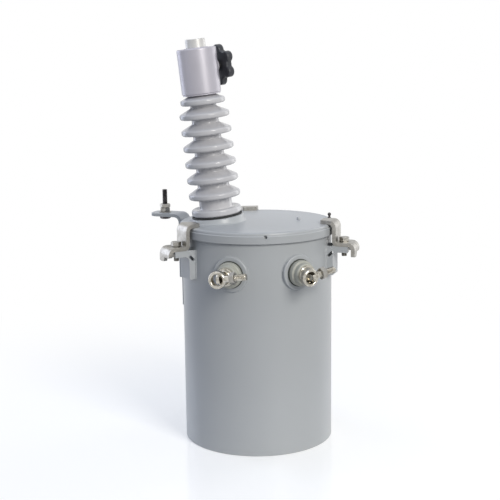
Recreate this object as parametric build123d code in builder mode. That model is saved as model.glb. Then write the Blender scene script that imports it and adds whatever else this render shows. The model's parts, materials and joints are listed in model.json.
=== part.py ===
from build123d import *
from math import cos, radians, sin
import os

# Small single-phase pole-type distribution transformer, in millimetres.
# The origin is the centre of the tank's floor, +Z is up, and the low-voltage side faces -Y.
# Azimuths are in degrees, counted from the front (-Y) towards +X.

# Tank
tank_radius = 135.0
tank_wall = 3.0
tank_height = 395.0
floor_thickness = 4.0
weld_gap = 0.2
lv_boss_radius = 31.0
lv_boss_height = 3.5

# Cover: a pressed pan whose skirt comes down over the tank's rim
cover_sheet = 3.0
cover_dome = 3.0
dome_radius = 116.0
skirt_gap = 2.6
skirt_drop = 17.0
skirt_step = 1.4
skirt_step_drop = 5.5
cover_edge_radius = 4.5
vent_hole_radius = 3.2
vent_hole_drop = 7.5
cover_screw_place = (76.0, 78.5)
cover_screw_radius = 3.5
cover_screw_height = 5.0
ball_stud_place = (134.0, 92.0)
ball_stud_radius = 2.0
ball_stud_height = 6.8
ball_radius = 3.2

# High-voltage bushing, leaning outwards on a sloped boss
bushing_offset = 71.2
bushing_lean = 6.2
boss_height = 11.0
boss_radius = 47.5
boss_foot_spread = 3.5
gasket_radius = 45.4
gasket_thickness = 3.0
flange_radius = 44.6
flange_height = 14.0
core_radius_bottom = 30.5
core_radius_top = 22.5
porcelain_height = 214.3
shed_count = 6
shed_pitch = 28.5
first_shed_height = 35.3
shed_radius_bottom = 46.3
shed_radius_top = 44.3
top_shed_radius = 39.8
top_shed_gap = 12.0
shed_edge = 9.5
shed_slope_rise = 15.0
shed_underside_rise = -4.0
shed_edge_round = 4.0
shed_root_round = 3.2

# Terminal housing, its plug and the star knob on its side
housing_radius = 34.8
housing_height = 81.5
housing_round = 2.0
plug_radius = 17.5
plug_height = 16.0
plug_chamfer = 1.5
knob_turn = 34.0
knob_height = 47.3
knob_boss_radius = 13.0
knob_boss_height = 2.5
stem_radius = 7.0
stem_length = 4.5
knob_lobes = 6
knob_lobe_centre = 26.2
knob_lobe_radius = 10.0
knob_body_radius = 27.3
knob_notch_round = 3.0
knob_thickness = 13.0
knob_edge_round = 3.0
knob_hub_radius = 15.0
knob_hub_height = 3.0
knob_first_lobe = 30.0

# Low-voltage bushings
lv_azimuth = 25.5
lv_height = 325.0
lv_hole_radius = 17.0
lv_gasket_radius = 24.0
lv_gasket_thickness = 2.5
lv_shoulder_radius = 22.5
lv_shoulder_length = 9.0
lv_nose_radius = 19.0
lv_nose_length = 10.0
lv_edge_round = 2.5
lv_collar_radius = 15.5
lv_collar_length = 11.0
lv_tongue_width = 6.0
lv_tongue_height = 11.0
lv_tongue_length = 19.0
eye_offset = 7.0
eye_radius = 15.5
eye_hole_radius = 9.5
eye_thickness = 13.0
eye_collar_gap = 1.5
eyebolt_shank_radius = 6.0
eyebolt_reach = 45.0
eyebolt_tilt = 9.0
eyebolt_nut_width = 19.0
eyebolt_nut_height = 9.0
eyebolt_nut_start = 16.0

# Cover clamps
clamp_azimuths = {"left": -66.0, "right": 66.0, "back": 180.0}
strap_thickness = 7.0
strap_width = 37.0
strap_tip_width = 26.0
strap_tip_radius = 122.0
strap_taper_radius = 143.0
strap_leg_radius = 148.2
strap_end_radius = 182.2
strap_end_drop = 22.0
strap_bend_round = 9.0
strap_foot_round = 5.5
strap_end_round = 9.0
strap_end_step = 8.0
strap_step_place = -4.0
strap_corner_round = 3.5
lug_shelf_height = 360.0
lug_reach = 173.0
lug_sheet = 4.0
lug_width = 36.0
lug_flange_depth = 11.0
lug_web_radius = 146.0
lug_foot_height = 308.0
lug_corner_round = 8.0
lug_relief_place = 141.5
lug_relief_height = 346.0
lug_relief_length = 13.0
lug_relief_width = 5.0
clamp_bolt_radius = 5.0
clamp_bolt_place = 162.6
clamp_bolt_end = 19.5
clamp_head_width = 16.0
clamp_head_height = 8.0
clamp_nut_height = 8.0
bolt_clearance = 0.4

# Arrester bracket
arrester_azimuth = -118.0
arrester_leg_gap = 0.9
arrester_bar = 6.0
arrester_width = 40.0
arrester_narrow_width = 20.0
arrester_foot_height = 232.0
arrester_narrow_height = 287.0
arrester_plate_top = 405.0
arrester_reach = 208.0
arrester_bend_round = 12.0
arrester_tip_round = 14.0
arrester_pad_heights = (258.0, 345.0)
arrester_pad_length = 26.0
arrester_pad_width = 18.0
arrester_bolt_radius = 5.0
arrester_bolt_place = 184.0
arrester_bolt_rise = 43.0
arrester_thread_radius = 4.8
arrester_head_height = 6.0
arrester_head_width = 17.0
arrester_nut_height = 7.5
arrester_nut_gap = 0.6
arrester_washer_radius = 11.0
arrester_washer = 1.6

# Hanger brackets on the back
hanger_centre = 160.0
hanger_spacing = 200.0
hanger_standoff = 60.0
hanger_width = 70.0
hanger_length = 70.0
hanger_sheet = 6.0
hanger_slot_radius = 9.0
hanger_slot_length = 40.0
hanger_bend_round = 8.0

# Ground boss low on the back
ground_azimuth = 140.0
ground_height = 38.0
ground_boss_radius = 14.0
ground_boss_length = 10.0
ground_bolt_width = 18.0
ground_bolt_head = 7.5
ground_washer_radius = 12.0
ground_washer = 2.5

# Places worked out from the sizes above
cover_top = tank_height + cover_sheet
skirt_bottom = tank_height - skirt_drop
skirt_inner = tank_radius + skirt_gap
skirt_outer = skirt_inner + cover_sheet
boss_face = cover_top + boss_height
lv_face = tank_radius + lv_boss_height
hex_per_width = 1.0 / cos(radians(30.0)) / 2.0


def outward(azimuth):
    return Vector(sin(radians(azimuth)), -cos(radians(azimuth)), 0)


def along_wall(azimuth):
    return Vector(cos(radians(azimuth)), sin(radians(azimuth)), 0)


def side_plane(azimuth):
    """Upright plane through the tank's axis: local x is the radius, local y is the height."""
    return Plane(origin=(0, 0, 0), x_dir=outward(azimuth), z_dir=-along_wall(azimuth))


def wall_plane(azimuth, radius, height):
    """Plane square to a radius: local x runs along the wall, local y is up, its normal points out."""
    return Plane(
        origin=outward(azimuth) * radius + Vector(0, 0, height),
        x_dir=along_wall(azimuth),
        z_dir=outward(azimuth),
    )


def level_plane(azimuth, height):
    """Level plane: local x is the radius at this azimuth."""
    return Plane(origin=(0, 0, height), x_dir=outward(azimuth), z_dir=(0, 0, 1))


lean = radians(bushing_lean)
bushing_base = Plane(
    origin=(-bushing_offset, 0, boss_face),
    x_dir=(cos(lean), 0, sin(lean)),
    z_dir=(-sin(lean), 0, cos(lean)),
)
bushing_axis = Axis(bushing_base.origin, bushing_base.z_dir)
bushing_side = Plane(
    origin=bushing_base.origin, x_dir=bushing_base.x_dir, z_dir=-bushing_base.y_dir
)

os.makedirs("parts", exist_ok=True)


def keep(builder, name):
    builder.part.label = name
    export_step(builder.part, f"parts/{name}.step")


def make_tank():
    with BuildPart() as tank_shell:
        with BuildSketch(Plane.XY):
            Circle(tank_radius)
        extrude(amount=tank_height)
        for side in (-1, 1):
            with BuildSketch(wall_plane(side * lv_azimuth, lv_face, lv_height)):
                Circle(lv_boss_radius)
            extrude(amount=-lv_boss_radius)
        with BuildSketch(Plane.XY):
            Circle(tank_radius - tank_wall)
        extrude(amount=tank_height, mode=Mode.SUBTRACT)
        for side in (-1, 1):
            with BuildSketch(wall_plane(side * lv_azimuth, lv_face, lv_height)):
                Circle(lv_hole_radius)
            extrude(amount=-lv_boss_radius, mode=Mode.SUBTRACT)
    keep(tank_shell, "tank_shell")

    with BuildPart() as tank_floor:
        with BuildSketch(Plane.XY):
            Circle(tank_radius - tank_wall - weld_gap)
        extrude(amount=floor_thickness)
    keep(tank_floor, "tank_floor")


def make_cover():
    upper_outer = skirt_outer - skirt_step
    upper_inner = skirt_inner - skirt_step
    step_height = cover_top - skirt_step_drop
    with BuildPart() as cover:
        with BuildSketch(Plane.XZ):
            with BuildLine():
                TangentArc((0, cover_top + cover_dome), (dome_radius, cover_top), tangent=(1, 0))
                Polyline(
                    (dome_radius, cover_top),
                    (upper_outer, cover_top),
                    (upper_outer, step_height),
                    (skirt_outer, step_height - skirt_step),
                    (skirt_outer, skirt_bottom),
                    (skirt_inner, skirt_bottom),
                    (skirt_inner, step_height - skirt_step),
                    (upper_inner, step_height),
                    (upper_inner, tank_height),
                    (dome_radius, tank_height),
                )
                TangentArc((0, tank_height + cover_dome), (dome_radius, tank_height), tangent=(1, 0))
                Line((0, tank_height + cover_dome), (0, cover_top + cover_dome))
            make_face()
            rim = vertices().filter_by(lambda v: v.X > upper_inner and v.Y > cover_top - 0.1)
            fillet(rim, radius=cover_edge_radius)
        revolve(axis=Axis.Z)
        with BuildSketch(Plane.XY.offset(tank_height)):
            with Locations((-bushing_offset, 0)):
                Circle(boss_radius + boss_foot_spread)
        with BuildSketch(bushing_base):
            Circle(boss_radius)
        loft()
        with BuildSketch(Plane.XY.offset(tank_height - cover_sheet)):
            with Locations((-bushing_offset, 0)):
                Circle(boss_radius + boss_foot_spread - cover_sheet)
        with BuildSketch(bushing_base.offset(-cover_sheet)):
            Circle(boss_radius - cover_sheet)
        loft(mode=Mode.SUBTRACT)
        with BuildSketch(wall_plane(0, skirt_outer + cover_sheet, cover_top - vent_hole_drop)):
            Circle(vent_hole_radius)
        extrude(amount=-3 * cover_sheet, mode=Mode.SUBTRACT)
    keep(cover, "cover")


def make_cover_screws():
    with BuildPart() as cover_screws:
        radius, azimuth = cover_screw_place
        seat = cover_top + cover_dome * (1.0 - (radius / dome_radius) ** 2) + weld_gap
        with BuildSketch(Plane(origin=outward(azimuth) * radius + Vector(0, 0, seat))):
            Circle(cover_screw_radius)
        extrude(amount=cover_screw_height)
        fillet(edges().filter_by(GeomType.CIRCLE).sort_by(Axis.Z)[-1], radius=cover_screw_height / 3)
        radius, azimuth = ball_stud_place
        stud_foot = outward(azimuth) * radius + Vector(0, 0, cover_top + weld_gap)
        with BuildSketch(Plane(origin=stud_foot)):
            Circle(ball_stud_radius)
        extrude(amount=ball_stud_height)
        with Locations(stud_foot + Vector(0, 0, ball_stud_height)):
            Sphere(ball_radius)
    keep(cover_screws, "cover_screws")


def core_radius(height):
    return core_radius_bottom + (core_radius_top - core_radius_bottom) * height / porcelain_height


def shed_points(height, radius):
    """One shed of the profile, from its root below the lip to its root above."""
    under = height + shed_underside_rise
    over = height + shed_slope_rise
    return [
        (core_radius(under), under),
        (radius, height - shed_edge / 2),
        (radius, height + shed_edge / 2),
        (core_radius(over), over),
    ]


def make_high_voltage_bushing():
    with BuildPart() as bushing_gasket:
        with BuildSketch(bushing_base):
            Circle(gasket_radius)
            Circle(core_radius_bottom, mode=Mode.SUBTRACT)
        extrude(amount=gasket_thickness)
    keep(bushing_gasket, "bushing_gasket")

    flange_top = gasket_thickness + flange_height
    porcelain_top = gasket_thickness + porcelain_height
    outline = [
        (0, gasket_thickness),
        (flange_radius, gasket_thickness),
        (flange_radius, flange_top),
        (core_radius(flange_top), flange_top + shed_underside_rise),
    ]
    for index in range(shed_count):
        share = index / (shed_count - 1)
        radius = shed_radius_bottom + (shed_radius_top - shed_radius_bottom) * share
        outline += shed_points(gasket_thickness + first_shed_height + index * shed_pitch, radius)
    outline += shed_points(porcelain_top - top_shed_gap, top_shed_radius)[:3]
    outline += [(core_radius_top, porcelain_top), (0, porcelain_top)]

    with BuildPart() as hv_bushing:
        with BuildSketch(bushing_side):
            with BuildLine():
                Polyline(*outline, close=True)
            make_face()
            lips = vertices().filter_by(lambda v: v.X > top_shed_radius - 1)
            fillet(lips, radius=shed_edge_round)
            roots = vertices().filter_by(
                lambda v: core_radius_top - 1 < v.X < core_radius_bottom + 1
                and flange_top < v.Y < porcelain_top - shed_slope_rise
            )
            fillet(roots, radius=shed_root_round)
        revolve(axis=bushing_axis)
    keep(hv_bushing, "hv_bushing")


def make_terminal_housing():
    base = gasket_thickness + porcelain_height
    turn = radians(knob_turn)
    side_out = bushing_base.x_dir * cos(turn) + bushing_base.y_dir * sin(turn)
    knob_centre = bushing_base.origin + bushing_base.z_dir * (base + knob_height)

    def knob_plane(distance):
        return Plane(
            origin=knob_centre + side_out * distance,
            x_dir=side_out.cross(bushing_base.z_dir),
            z_dir=side_out,
        )

    boss_end = housing_radius + knob_boss_height
    with BuildPart() as terminal_housing:
        with BuildSketch(bushing_base.offset(base)):
            Circle(housing_radius)
        extrude(amount=housing_height)
        fillet(edges().filter_by(GeomType.CIRCLE), radius=housing_round)
        with BuildSketch(knob_plane(boss_end)):
            Circle(knob_boss_radius)
        extrude(amount=-boss_end)
    keep(terminal_housing, "terminal_housing")

    with BuildPart() as housing_plug:
        with BuildSketch(bushing_base.offset(base + housing_height)):
            Circle(plug_radius)
        extrude(amount=plug_height)
        chamfer(edges().filter_by(GeomType.CIRCLE).sort_by(Axis.Z)[-1], length=plug_chamfer)
    keep(housing_plug, "housing_plug")

    with BuildPart() as knob_stem:
        with BuildSketch(knob_plane(boss_end)):
            Circle(stem_radius)
        extrude(amount=stem_length)
    keep(knob_stem, "knob_stem")

    knob_start = boss_end + stem_length
    with BuildPart() as star_knob:
        with BuildSketch(knob_plane(knob_start)):
            Circle(knob_body_radius)
            with PolarLocations(knob_lobe_centre, knob_lobes, start_angle=knob_first_lobe):
                Circle(knob_lobe_radius)
            fillet(vertices(), radius=knob_notch_round)
        extrude(amount=knob_thickness)
        ends = faces().filter_by(GeomType.PLANE)
        fillet(ends.edges(), radius=knob_edge_round)
        with BuildSketch(knob_plane(knob_start + knob_thickness)):
            Circle(knob_hub_radius)
        extrude(amount=knob_hub_height)
    keep(star_knob, "star_knob")


def tilted_wall_plane(azimuth, radius):
    """A wall plane at a low-voltage bushing, whose local x rises by the eyebolt's tilt."""
    tilt = radians(eyebolt_tilt)
    return Plane(
        origin=outward(azimuth) * radius + Vector(0, 0, lv_height),
        x_dir=along_wall(azimuth) * cos(tilt) + Vector(0, 0, sin(tilt)),
        z_dir=outward(azimuth),
    )


def make_low_voltage_bushing(side, azimuth):
    gasket_end = lv_face + lv_gasket_thickness
    shoulder_end = gasket_end + lv_shoulder_length
    nose_end = shoulder_end + lv_nose_length
    collar_end = nose_end + lv_collar_length
    eye_start = collar_end + eye_collar_gap
    eye_middle = eye_start + eye_thickness / 2

    with BuildPart() as gasket:
        with BuildSketch(wall_plane(azimuth, lv_face, lv_height)):
            Circle(lv_gasket_radius)
            Circle(lv_hole_radius, mode=Mode.SUBTRACT)
        extrude(amount=lv_gasket_thickness)
    keep(gasket, f"lv_gasket_{side}")

    with BuildPart() as insulator:
        with BuildSketch(wall_plane(azimuth, gasket_end, lv_height)):
            Circle(lv_shoulder_radius)
        extrude(amount=lv_shoulder_length)
        with BuildSketch(wall_plane(azimuth, shoulder_end, lv_height)):
            Circle(lv_nose_radius)
        extrude(amount=lv_nose_length)
        outer_rings = edges().filter_by(
            lambda e: e.geom_type == GeomType.CIRCLE
            and e.center().dot(outward(azimuth)) > gasket_end + 1
            and not (e.radius < lv_shoulder_radius and e.center().dot(outward(azimuth)) < shoulder_end + 1)
        )
        fillet(outer_rings, radius=lv_edge_round)
    keep(insulator, f"lv_insulator_{side}")

    with BuildPart() as terminal:
        with BuildSketch(wall_plane(azimuth, nose_end, lv_height)):
            Circle(lv_collar_radius)
        extrude(amount=lv_collar_length)
        with BuildSketch(tilted_wall_plane(azimuth, collar_end)):
            with Locations((-lv_tongue_width / 2, 0)):
                Rectangle(lv_tongue_width, lv_tongue_height)
        extrude(amount=lv_tongue_length)
    keep(terminal, f"lv_terminal_{side}")

    with BuildPart() as eyebolt:
        with BuildSketch(tilted_wall_plane(azimuth, eye_start)):
            with Locations((-eye_offset, 0)):
                Circle(eye_radius)
        extrude(amount=eye_thickness)
        shank_root = tilted_wall_plane(azimuth, eye_middle)
        with BuildSketch(Plane(origin=shank_root.origin, x_dir=shank_root.y_dir, z_dir=shank_root.x_dir)):
            Circle(eyebolt_shank_radius)
        extrude(amount=eyebolt_reach)
        with BuildSketch(tilted_wall_plane(azimuth, eye_start)):
            with Locations((-eye_offset, 0)):
                Circle(eye_hole_radius)
        extrude(amount=eye_thickness, mode=Mode.SUBTRACT)
    keep(eyebolt, f"lv_eyebolt_{side}")

    with BuildPart() as eyebolt_nut:
        shank_root = tilted_wall_plane(azimuth, eye_middle)
        nut_start = Plane(
            origin=shank_root.origin + shank_root.x_dir * eyebolt_nut_start,
            x_dir=shank_root.y_dir,
            z_dir=shank_root.x_dir,
        )
        with BuildSketch(nut_start):
            RegularPolygon(eyebolt_nut_width * hex_per_width, 6)
            Circle(eyebolt_shank_radius + bolt_clearance, mode=Mode.SUBTRACT)
        extrude(amount=eyebolt_nut_height)
    keep(eyebolt_nut, f"lv_eyebolt_nut_{side}")


def make_cover_clamp(side, azimuth):
    shelf_underside = lug_shelf_height - lug_sheet
    strap_arm_height = cover_top + strap_thickness / 2
    strap_foot_height = lug_shelf_height + strap_thickness / 2
    strap_end_bottom = strap_foot_height - strap_end_drop

    with BuildPart() as lug:
        for direction in (-1, 1):
            edge = direction * (lug_width - lug_sheet) / 2
            with BuildSketch(side_plane(azimuth).offset(-edge)):
                with BuildLine():
                    Polyline(
                        (tank_radius - tank_wall, lug_shelf_height),
                        (lug_reach, lug_shelf_height),
                        (lug_reach, lug_shelf_height - lug_flange_depth),
                        (lug_web_radius, lug_shelf_height - lug_flange_depth),
                        (lug_web_radius, lug_foot_height),
                        (tank_radius - tank_wall, lug_foot_height),
                        close=True,
                    )
                make_face()
                corner = vertices().filter_by(
                    lambda v: abs(v.X - lug_web_radius) < 0.01
                    and v.Y > lug_foot_height + lug_flange_depth
                )
                fillet(corner, radius=lug_corner_round)
            extrude(amount=lug_sheet / 2, both=True)
        with BuildSketch(side_plane(azimuth)):
            with BuildLine():
                Polyline(
                    (lug_web_radius - lug_sheet, lug_shelf_height),
                    (lug_reach, lug_shelf_height),
                    (lug_reach, shelf_underside),
                    (lug_web_radius, shelf_underside),
                    (lug_web_radius, lug_foot_height),
                    (lug_web_radius - lug_sheet, lug_foot_height),
                    close=True,
                )
            make_face()
        extrude(amount=lug_width / 2, both=True)
        with BuildSketch(Plane.XY.offset(lug_foot_height)):
            Circle(tank_radius + weld_gap)
        extrude(amount=tank_height, mode=Mode.SUBTRACT)
        with BuildSketch(level_plane(azimuth, lug_shelf_height)):
            with Locations((clamp_bolt_place, 0)):
                Circle(clamp_bolt_radius + bolt_clearance)
        extrude(amount=-2 * lug_sheet, mode=Mode.SUBTRACT)
        with BuildSketch(side_plane(azimuth)):
            with Locations((lug_relief_place, lug_relief_height)):
                SlotOverall(lug_relief_length, lug_relief_width, rotation=45)
        extrude(amount=lug_width, both=True, mode=Mode.SUBTRACT)
    keep(lug, f"clamp_lug_{side}")

    with BuildPart() as strap:
        with BuildSketch(side_plane(azimuth)):
            with BuildLine() as centre_line:
                FilletPolyline(
                    (strap_tip_radius, strap_arm_height),
                    (strap_leg_radius, strap_arm_height),
                    (strap_leg_radius, strap_foot_height),
                    (strap_end_radius, strap_foot_height),
                    (strap_end_radius, strap_foot_height - strap_end_drop),
                    radius=(strap_bend_round, strap_foot_round, strap_end_round),
                )
            trace(line_width=strap_thickness)
        extrude(amount=strap_width / 2, both=True)
        with BuildSketch(level_plane(azimuth, 0)) as plan:
            with BuildLine():
                Polyline(
                    (strap_tip_radius, -strap_tip_width / 2),
                    (strap_taper_radius, -strap_width / 2),
                    (strap_end_radius + strap_thickness, -strap_width / 2),
                    (strap_end_radius + strap_thickness, strap_width / 2),
                    (strap_taper_radius, strap_width / 2),
                    (strap_tip_radius, strap_tip_width / 2),
                    close=True,
                )
            make_face()
        extrude(amount=2 * tank_height, mode=Mode.INTERSECT)
        with BuildSketch(wall_plane(azimuth, strap_end_radius - strap_thickness, strap_end_bottom)):
            Rectangle(2 * strap_width, 2 * strap_end_step + strap_corner_round)
            with BuildLine():
                FilletPolyline(
                    (-strap_width / 2, 0),
                    (strap_step_place, 0),
                    (strap_step_place + strap_end_step / 2, strap_end_step),
                    (strap_width / 2, strap_end_step),
                    (strap_width / 2, 4 * strap_end_step),
                    (-strap_width / 2, 4 * strap_end_step),
                    close=True,
                    radius=strap_corner_round,
                )
            make_face(mode=Mode.SUBTRACT)
        extrude(amount=2 * strap_thickness, mode=Mode.SUBTRACT)
        with BuildSketch(level_plane(azimuth, lug_shelf_height)):
            with Locations((clamp_bolt_place, 0)):
                Circle(clamp_bolt_radius + bolt_clearance)
        extrude(amount=strap_thickness, mode=Mode.SUBTRACT)
    keep(strap, f"clamp_strap_{side}")

    head_seat = lug_shelf_height + strap_thickness
    with BuildPart() as bolt:
        with BuildSketch(level_plane(azimuth, head_seat)):
            with Locations((clamp_bolt_place, 0)):
                RegularPolygon(clamp_head_width * hex_per_width, 6, rotation=30)
        extrude(amount=clamp_head_height)
        with BuildSketch(level_plane(azimuth, head_seat)):
            with Locations((clamp_bolt_place, 0)):
                Circle(clamp_bolt_radius)
        extrude(amount=-(strap_thickness + clamp_bolt_end))
    keep(bolt, f"clamp_bolt_{side}")

    with BuildPart() as nut:
        with BuildSketch(level_plane(azimuth, shelf_underside)):
            with Locations((clamp_bolt_place, 0)):
                RegularPolygon(clamp_head_width * hex_per_width, 6, rotation=30)
                Circle(clamp_bolt_radius + bolt_clearance, mode=Mode.SUBTRACT)
        extrude(amount=-clamp_nut_height)
    keep(nut, f"clamp_nut_{side}")


def make_arrester_bracket():
    leg_inner = skirt_outer + arrester_leg_gap
    leg_middle = leg_inner + arrester_bar / 2
    plate_middle = arrester_plate_top - arrester_bar / 2
    plate_bottom = arrester_plate_top - arrester_bar
    with BuildPart() as bracket:
        with BuildSketch(side_plane(arrester_azimuth)):
            with BuildLine():
                FilletPolyline(
                    (leg_middle, arrester_foot_height),
                    (leg_middle, plate_middle),
                    (arrester_reach, plate_middle),
                    radius=arrester_bend_round,
                )
            trace(line_width=arrester_bar)
        extrude(amount=arrester_width / 2, both=True)
        with BuildSketch(wall_plane(arrester_azimuth, leg_inner, arrester_foot_height)):
            for direction in (-1, 1):
                with Locations((direction * arrester_width / 2, 0)):
                    Rectangle(
                        arrester_width - arrester_narrow_width,
                        2 * (arrester_narrow_height - arrester_foot_height),
                    )
        extrude(amount=arrester_bar, mode=Mode.SUBTRACT)
        tip_corners = edges().filter_by(Axis.Z).sort_by(
            lambda e: e.center().dot(outward(arrester_azimuth))
        )[-2:]
        fillet(tip_corners, radius=arrester_tip_round)
        with BuildSketch(level_plane(arrester_azimuth, arrester_plate_top)):
            with Locations((arrester_bolt_place, 0)):
                Circle(arrester_bolt_radius + bolt_clearance)
        extrude(amount=-arrester_bar, mode=Mode.SUBTRACT)
    keep(bracket, "arrester_bracket")

    with BuildPart() as pads:
        for height in arrester_pad_heights:
            with BuildSketch(wall_plane(arrester_azimuth, leg_inner, height)):
                Rectangle(arrester_pad_width, arrester_pad_length)
            extrude(amount=-(leg_inner - tank_radius + tank_wall))
        with BuildSketch(Plane.XY):
            Circle(tank_radius + weld_gap)
        extrude(amount=tank_height, mode=Mode.SUBTRACT)
    keep(pads, "arrester_bracket_pads")

    with BuildPart() as bolt:
        with BuildSketch(level_plane(arrester_azimuth, plate_bottom)):
            with Locations((arrester_bolt_place, 0)):
                RegularPolygon(arrester_head_width * hex_per_width, 6, rotation=30)
        extrude(amount=-arrester_head_height)
        with BuildSketch(level_plane(arrester_azimuth, plate_bottom)):
            with Locations((arrester_bolt_place, 0)):
                Circle(arrester_bolt_radius)
        extrude(amount=arrester_bar + arrester_washer + 2 * arrester_nut_height)
        with BuildSketch(level_plane(arrester_azimuth, plate_bottom)):
            with Locations((arrester_bolt_place, 0)):
                Circle(arrester_thread_radius)
        extrude(amount=arrester_bar + arrester_bolt_rise)
    keep(bolt, "arrester_bolt")

    with BuildPart() as nuts:
        with BuildSketch(level_plane(arrester_azimuth, arrester_plate_top)):
            with Locations((arrester_bolt_place, 0)):
                Circle(arrester_washer_radius)
                Circle(arrester_bolt_radius + bolt_clearance, mode=Mode.SUBTRACT)
        extrude(amount=arrester_washer)
        for index in range(2):
            seat = arrester_plate_top + arrester_washer + index * arrester_nut_height
            with BuildSketch(level_plane(arrester_azimuth, seat)):
                with Locations((arrester_bolt_place, 0)):
                    RegularPolygon(arrester_head_width * hex_per_width, 6, rotation=20 * index)
                    Circle(arrester_bolt_radius + bolt_clearance, mode=Mode.SUBTRACT)
            extrude(amount=arrester_nut_height - arrester_nut_gap)
    keep(nuts, "arrester_nuts")


def make_hanger(name, centre_height):
    back = tank_radius + hanger_standoff
    with BuildPart() as hanger:
        with BuildSketch(Plane.XY.offset(centre_height - hanger_length / 2)):
            with Locations((0, back / 2)):
                Rectangle(hanger_width, back)
        extrude(amount=hanger_length)
        outer_corners = edges().filter_by(Axis.Z).sort_by(Axis.Y)[-2:]
        fillet(outer_corners, radius=hanger_bend_round)
        with BuildSketch(Plane.XY.offset(centre_height - hanger_length / 2)):
            with Locations((0, (back - hanger_sheet) / 2)):
                Rectangle(hanger_width - 2 * hanger_sheet, back - hanger_sheet)
        extrude(amount=hanger_length, mode=Mode.SUBTRACT)
        with BuildSketch(Plane.XY):
            Circle(tank_radius + weld_gap)
        extrude(amount=tank_height, mode=Mode.SUBTRACT)
        with BuildSketch(wall_plane(180, back - hanger_sheet, centre_height)):
            SlotOverall(hanger_slot_length, 2 * hanger_slot_radius, rotation=90)
        extrude(amount=hanger_sheet, mode=Mode.SUBTRACT)
    keep(hanger, name)


def make_ground_boss():
    with BuildPart() as boss:
        with BuildSketch(wall_plane(ground_azimuth, tank_radius + ground_boss_length, ground_height)):
            Circle(ground_boss_radius)
        extrude(amount=-(ground_boss_length + tank_wall))
        with BuildSketch(Plane.XY):
            Circle(tank_radius + weld_gap)
        extrude(amount=tank_height, mode=Mode.SUBTRACT)
    keep(boss, "ground_boss")

    with BuildPart() as bolt:
        with BuildSketch(wall_plane(ground_azimuth, tank_radius + ground_boss_length, ground_height)):
            Circle(ground_washer_radius)
        extrude(amount=ground_washer)
        head_start = tank_radius + ground_boss_length + ground_washer
        with BuildSketch(wall_plane(ground_azimuth, head_start, ground_height)):
            RegularPolygon(ground_bolt_width * hex_per_width, 6)
        extrude(amount=ground_bolt_head)
    keep(bolt, "ground_bolt")


make_tank()
make_cover()
make_cover_screws()
make_high_voltage_bushing()
make_terminal_housing()
for side, direction in (("left", -1), ("right", 1)):
    make_low_voltage_bushing(side, direction * lv_azimuth)
for side, azimuth in clamp_azimuths.items():
    make_cover_clamp(side, azimuth)
make_arrester_bracket()
make_hanger("upper_hanger", hanger_centre + hanger_spacing / 2)
make_hanger("lower_hanger", hanger_centre - hanger_spacing / 2)
make_ground_boss()
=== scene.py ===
"""Dresses the frame of a small pole-type transformer: paint, porcelain, welds and fasteners."""

import json
import math

import bmesh
import bpy
from mathutils import Matrix, Vector


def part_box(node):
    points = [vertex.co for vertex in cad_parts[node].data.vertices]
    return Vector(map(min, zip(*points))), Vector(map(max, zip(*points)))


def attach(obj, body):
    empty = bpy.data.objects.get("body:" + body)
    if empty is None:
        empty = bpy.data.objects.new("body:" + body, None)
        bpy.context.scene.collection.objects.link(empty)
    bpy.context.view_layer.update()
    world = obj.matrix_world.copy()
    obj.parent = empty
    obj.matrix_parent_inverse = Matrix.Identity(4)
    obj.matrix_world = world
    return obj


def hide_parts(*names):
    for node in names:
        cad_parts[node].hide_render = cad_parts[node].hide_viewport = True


bl_info = {
    "name": "Pole Transformer Finish",
    "version": (1, 0, 0),
    "blender": (4, 5, 0),
    "location": "3D View > Sidebar > Transformer",
    "description": "Dresses a pole-type transformer: paint, porcelain, welds and fasteners",
    "category": "Object",
}

MM = 0.001
BODY = "root"
SHARP = math.radians(34.0)
UP = Vector((0, 0, 1))

# Sizes that several pieces share, in millimetres
NO_FLATS = 1.0e6
LV_HEIGHT = 325.0
LV_SEAT = 3.5
LV_BOSS_RADIUS = 31.0
GROUND_HEIGHT = 38.0
PORCELAIN_HEIGHT = 214.3

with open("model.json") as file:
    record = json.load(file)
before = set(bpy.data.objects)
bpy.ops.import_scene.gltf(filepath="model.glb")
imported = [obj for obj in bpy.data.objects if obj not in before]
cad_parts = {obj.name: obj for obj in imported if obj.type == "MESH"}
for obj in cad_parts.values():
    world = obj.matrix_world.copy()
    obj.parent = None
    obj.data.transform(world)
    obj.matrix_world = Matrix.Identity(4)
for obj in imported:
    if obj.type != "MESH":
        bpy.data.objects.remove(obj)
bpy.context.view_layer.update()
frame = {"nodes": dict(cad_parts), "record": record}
mounts = {mount["name"]: mount for mount in frame["record"]["mounts"]}


# Places, in the frame's own terms: azimuths count from the front towards +X, sizes are millimetres


def outward(azimuth):
    return Vector((math.sin(math.radians(azimuth)), -math.cos(math.radians(azimuth)), 0))


def along_wall(azimuth):
    return Vector((math.cos(math.radians(azimuth)), math.sin(math.radians(azimuth)), 0))


def azimuth_of(point):
    return math.degrees(math.atan2(point[0], -point[1]))


def middle(node):
    low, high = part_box(node)
    return (low + high) / 2


def placed(origin, axis, across):
    """The matrix that stands a piece made along +Z on origin, along axis, +X towards across."""
    axis = Vector(axis).normalized()
    side = (Vector(across) - axis * axis.dot(Vector(across))).normalized()
    turn = Matrix((side, axis.cross(side), axis)).transposed().to_4x4()
    return Matrix.Translation(origin) @ turn


def on_wall(azimuth, radius, height):
    """Square on the tank's wall: +Z outwards, +X along the wall, +Y up."""
    origin = (outward(azimuth) * radius + UP * height) * MM
    return placed(origin, outward(azimuth), along_wall(azimuth))


def upright(azimuth, radius, height, turn=0.0):
    """Upright at a radius: +Z up, +X outwards, then turned on its own axis."""
    origin = (outward(azimuth) * radius + UP * height) * MM
    return placed(origin, UP, outward(azimuth + turn))


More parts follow.
